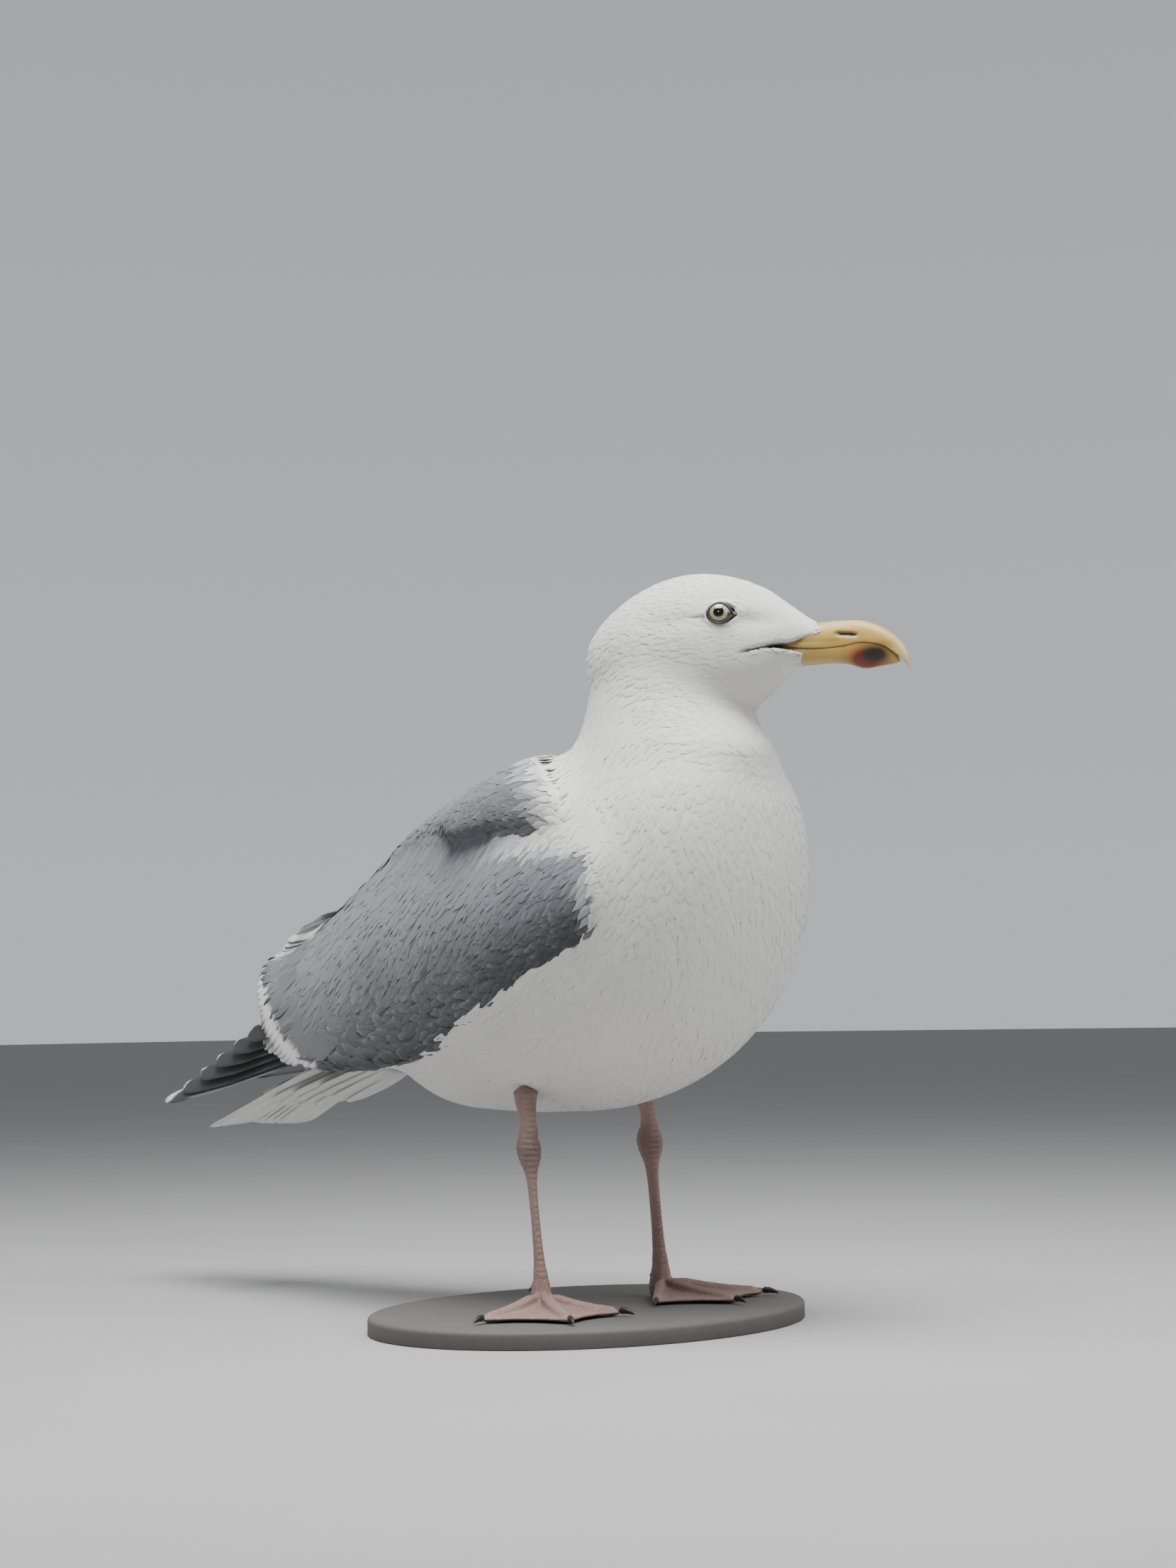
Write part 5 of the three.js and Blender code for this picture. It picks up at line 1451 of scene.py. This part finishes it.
def iris_material():
    """Iris and pupil: the attribute holds the distance from the eye's axis and the turn about it."""
    material, tree, shader = new_material("eye", 0.12, Coat_Weight=1.0, Coat_Roughness=0.03)
    radius, turn, _ = parts_of(tree, attribute(tree, "iris").outputs["Vector"])
    colour = colour_ramp(
        tree, maths(tree, "DIVIDE", radius, 8.0),
        (0.0, (0.004, 0.004, 0.004)), (0.265, (0.004, 0.004, 0.004)), (0.29, (0.10, 0.085, 0.05)),
        (0.325, (0.36, 0.33, 0.20)), (0.44, (0.44, 0.41, 0.27)), (0.50, (0.22, 0.20, 0.12)),
        (0.545, (0.05, 0.04, 0.03)), (1.0, (0.02, 0.016, 0.012)))
    where = vector_of(tree, turn, maths(tree, "MULTIPLY", radius, 0.03))
    fleck = texture(tree, "Noise", "Fac", where, Scale=26.0, Detail=3.0)
    colour_into(tree, shader.inputs["Base Color"], colour, weighted(tree, 0.72, (fleck, 0.5)))
    return material


EYE_GLASS = iris_material()
# Rings of the lids: how far each lies from the inner outline to the outer one, and how high it stands.
LID_RINGS = [
    (-0.14, -0.5), (0.0, 0.05), (0.12, 0.42), (0.3, 0.62), (0.55, 0.55), (0.8, 0.28), (1.0, -0.1),
    (1.15, -0.6),
]
RAY_START = 14  # how far out along the eye's axis the skin under the lids is looked for


def eye_frame(side):
    """The eyeball's centre and its directions out, forward and up, in the head's frame."""
    flip = np.array([1, side, 1.0])
    centre = np.array(EYE["place"]) * flip
    return centre, EYE_AXIS * flip, EYE_FORE * flip, EYE_UP * flip


def build_eye(side, name):
    """An eyeball, whose poles lie on the eye's axis, with its lids."""
    centre, axis, fore, up = eye_frame(side)
    polar = np.linspace(0, np.pi, 60)[:, None]
    around = np.linspace(0, 2 * np.pi, 72, endpoint=False)[None, ::side]
    p, q, out = EYE["radius"] * np.stack(np.broadcast_arrays(
        np.sin(polar) * np.cos(around), np.sin(polar) * np.sin(around), np.cos(polar)))
    place = centre + p[..., None] * fore + q[..., None] * up + out[..., None] * axis
    points, faces = closed_tube(place)
    thing = make_mesh(f"eyeball_{name}", head_to_bird(points), faces[:, ::-1])
    distance = np.where(out < 0, 8.0, np.hypot(p, q))
    iris = np.stack(np.broadcast_arrays(distance, around / (2 * np.pi), 0.0), -1).reshape(-1, 3)
    tag(thing, "iris", np.vstack([iris, [(0, 0, 0), (8, 0, 0)]]))
    finish_piece(thing, EYE_GLASS, "eye", f"eye_{name}")
    build_lids(side, name)


def build_lids(side, name):
    """The dark bare ring of the lids, between the eyeball and the feathers."""
    centre, axis, fore, up = eye_frame(side)
    around = np.linspace(0, 2 * np.pi, 96, endpoint=False)
    inner = np.stack(almond(around, 4.75, 5.6, 3.95), -1)
    outer = np.stack(almond(around, 6.3, 8.3, 5.0), -1)
    rings = []
    for share, bulge in LID_RINGS:
        flat = inner * (1 - share) + outer * share
        reach = np.minimum(np.hypot(*flat.T), 5.6)
        heights = []
        for (p, q), on_ball in zip(flat, np.sqrt(EYE["radius"] ** 2 - reach**2)):
            origin = head_to_bird(centre + p * fore + q * up + RAY_START * axis)
            hit = skin_tree.ray_cast(Vector(origin), Vector(head_direction(-axis)))
            ground = RAY_START - hit[3] if hit[0] is not None else on_ball
            rest = smooth_step(share, 0.1, 0.9)
            least = on_ball if share < 0.4 else -9
            heights.append(max(on_ball * (1 - rest) + ground * rest, least) + bulge)
        rings.append(centre + flat[:, :1] * fore + flat[:, 1:] * up + np.array(heights)[:, None] * axis)
    faces = grid_faces(len(rings), len(around), wrap=True)
    points = head_to_bird(np.vstack(rings))
    thing = make_mesh(f"eyelids_{name}", points, faces if side < 0 else faces[:, ::-1])
    share = np.repeat(np.linspace(0, 1, len(rings)), len(around))[:, None]
    paint(thing, "horn_colour", LID_DARK + (LID_RIM - LID_DARK) * bell(share, 0.6, 0.2))
    return finish_piece(thing, LID_SKIN, "bill")


build_eye(1, "left")
build_eye(-1, "right")

# ------------------------------------------------------------------ legs and feet


def node_surface(names, voxel, swell):
    """The voxel surface of CAD nodes, joined, in the bird's millimetres."""
    parts = []
    for name in names:
        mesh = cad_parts[name].data
        points, _ = mesh_arrays(mesh)
        parts.append(((points - BIRD) / MM, [list(p.vertices) for p in mesh.polygons]))
    return voxel_surface(*join_parts(parts), voxel, swell, weld=0.001)


def finish_bare(name, mesh, points, colours, material, slot, *nodes):
    """A piece of horn or bare skin from a mesh and its moved points."""
    mesh.shade_smooth()
    move_points(mesh, points * MM + BIRD)
    mesh.name = name
    thing = put_in_scene(name, mesh)
    paint(thing, "horn_colour", colours)
    return finish_piece(thing, material, slot, *nodes)


def plates(place, spacing):
    """1 on the plates of a bare leg, less in the grooves between them."""
    return np.abs(np.sin(np.pi * place / spacing)) ** 0.5


def build_leg(name, ankle_height=73):
    """Shank, tarsus and foot as one, with plates down the front and over the toes, and a wrinkled ankle."""
    nodes = [f"{part}_{name}" for part in ("shank", "tarsus", "foot")]
    mesh = node_surface(nodes, 0.55, 0.25)
    points, edges = mesh_arrays(mesh)
    points = relax(points, edges, 0.5, 8)
    move_points(mesh, points)
    normals = normals_of(mesh)
    x, y, z = points.T
    heel_x, heel_y, _ = points[z > 12].mean(0)
    far = np.hypot(x - heel_x, y - heel_y)
    shin = smooth_step(z, 13, 17)
    grooves = (1 - plates(z, 2.6)) * smooth_step(normals[:, 0], 0.1, 0.6) * shin
    toe_grooves = (1 - plates(far, 2.1)) * smooth_step(normals[:, 2], 0.2, 0.7) * (1 - shin)
    wrinkle = bell(z, ankle_height, 9) * np.sin(z * 2.4) * 0.12
    points = points + normals * (wrinkle - 0.28 * grooves - 0.2 * toe_grooves - 0.2)[:, None]
    points[:, 2] = np.maximum(points[:, 2], -0.05)
    z = points[:, 2]
    dark = np.clip(0.55 * bell(z, ankle_height, 8) + 0.45 * grooves + 0.3 * toe_grooves, 0, 1)
    dark = np.clip(dark + 0.35 * (1 - smooth_step(z, 0.5, 3.0)), 0, 0.9)[:, None]
    colours = PINK * (1 - dark) + DARK_LEG * dark
    return finish_bare(f"leg_{name}", mesh, points, colours, SCALES, "leg_skin", *nodes)


def build_claws(name):
    for toe in ("outer", "middle", "inner", "hind"):
        node = f"claw_{name}_{toe}"
        mesh = node_surface([node], 0.22, 0.05)
        points = relax(*mesh_arrays(mesh), 0.5, 6)
        points[:, 2] = np.maximum(points[:, 2], 0.0)
        colours = np.tile(CLAW_TINT, (len(points), 1))
        finish_bare(f"horn_{node}", mesh, points, colours, CLAW_HORN, "claw", node)


for leg_name in ("left", "right"):
    build_leg(leg_name)
    build_claws(leg_name)

# ------------------------------------------------------------------ base


def base_material():
    material, tree, shader = new_material("painted_base", 0.72)
    fine = texture(tree, "Noise", "Fac", Scale=420.0, Detail=5.0)
    broad = texture(tree, "Noise", "Fac", Scale=26.0, Detail=3.0)
    both = weighted(tree, 0.0, (fine, 0.45), (broad, 0.55))
    colour = colour_ramp(tree, both, (0, (0.085, 0.082, 0.078)), (1, (0.15, 0.145, 0.135)))
    tree.links.new(colour, shader.inputs["Base Color"])
    bump(tree, shader, fine, 0.0003, 0.5)
    return material


def build_base():
    """The plain oval plate, its upper rim rounded over and its lower one bevelled."""
    edge, bevel = PLATE["edge"], PLATE["edge"] * 0.3
    profile = [(bevel, PLATE["bottom"]), (0, PLATE["bottom"] + bevel)]
    profile += [(edge * (1 - np.cos(a)), PLATE["top"] - edge * (1 - np.sin(a)))
                for a in np.linspace(0, np.pi / 2, 9)]
    around = np.linspace(0, 2 * np.pi, 160, endpoint=False)
    rings = [np.stack([
        PLATE["x"] + (PLATE["half_x"] - inset) * np.cos(around),
        PLATE["y"] + (PLATE["half_y"] - inset) * np.sin(around),
        np.full_like(around, z)], -1) for inset, z in profile]
    base = make_mesh("base_plate", *closed_tube(np.stack(rings)))
    return finish_piece(base, base_material(), "base", "stand_base")


build_base()

# ------------------------------------------------------------------ floor, lights and camera


def build_floor():
    bpy.ops.mesh.primitive_plane_add(size=40, location=(0, 0, float(cad_low.z)))
    floor = bpy.context.object
    floor.name = "floor"
    material, tree, shader = new_material("floor_paint", 0.9)
    noise = texture(tree, "Noise", "Fac", Scale=5.0, Detail=4.0)
    colour = colour_ramp(tree, noise, (0, (0.41, 0.41, 0.41)), (1, (0.46, 0.46, 0.46)))
    tree.links.new(colour, shader.inputs["Base Color"])
    floor.data.materials.append(material)


def build_world():
    """An even light wall, which falls off to a darker one behind the camera."""
    world = bpy.data.worlds.new("studio")
    bpy.context.scene.world = world
    world.use_nodes = True
    tree = world.node_tree
    x, y, z = parts_of(tree, tree.nodes.new("ShaderNodeTexCoord").outputs["Generated"])
    colour = colour_ramp(tree, z, (0.05, (0.56, 0.57, 0.59)), (0.5, (0.42, 0.425, 0.44)))
    away = weighted(tree, 0.0, (x, -float(np.sin(CAMERA["azimuth"]))), (y, float(np.cos(CAMERA["azimuth"]))))
    wall = add(tree, "ShaderNodeMapRange", interpolation_type="SMOOTHSTEP", From_Min=-0.4, From_Max=0.6,
               To_Min=0.3, To_Max=1.0)
    tree.links.new(away, wall.inputs["Value"])
    background = tree.nodes["Background"]
    colour_into(tree, background.inputs["Color"], colour, wall.outputs["Result"])
    background.inputs["Strength"].default_value = 1.0


def build_lamps():
    centre = Vector(BIRD) + Vector((0, 0, 0.2))
    for name, direction, energy in (("key", (0.14, -0.28, 1.0), 30.0), ("side", (0.9, 0.35, 0.75), 6.0)):
        light = bpy.data.lights.new(name, "AREA")
        light.energy = energy
        light.size = 0.8
        lamp = put_in_scene(name, light)
        lamp.location = centre + Vector(direction).normalized() * 1.1
        lamp.rotation_euler = (centre - lamp.location).to_track_quat("-Z", "Y").to_euler()


def build_camera():
    """The camera's place and turn, from its distance, height and bearing round the feet."""
    azimuth, pitch, roll = CAMERA["azimuth"], CAMERA["pitch"], CAMERA["roll"]
    back = np.array([np.sin(azimuth), -np.cos(azimuth), 0])
    right = np.array([np.cos(azimuth), np.sin(azimuth), 0])
    up = np.array([0, 0, 1.0])
    forward = -back * np.cos(pitch) + up * np.sin(pitch)
    level_up = up * np.cos(pitch) + back * np.sin(pitch)
    x_axis = right * np.cos(roll) - level_up * np.sin(roll)
    y_axis = level_up * np.cos(roll) + right * np.sin(roll)
    place = back * CAMERA["distance"] - right * CAMERA["aside"] + up * CAMERA["height"]
    data = bpy.data.cameras.new("camera")
    data.sensor_width = CAMERA["sensor"]
    data.lens = CAMERA["lens"]
    data.clip_start = 0.05
    camera = put_in_scene("camera", data)
    columns = np.stack([x_axis, y_axis, -forward, place * MM + BIRD], -1)
    camera.matrix_world = Matrix([*columns.tolist(), [0, 0, 0, 1]])
    bpy.context.scene.camera = camera


build_floor()
build_world()
build_lamps()
build_camera()

bpy.context.view_layer.update()
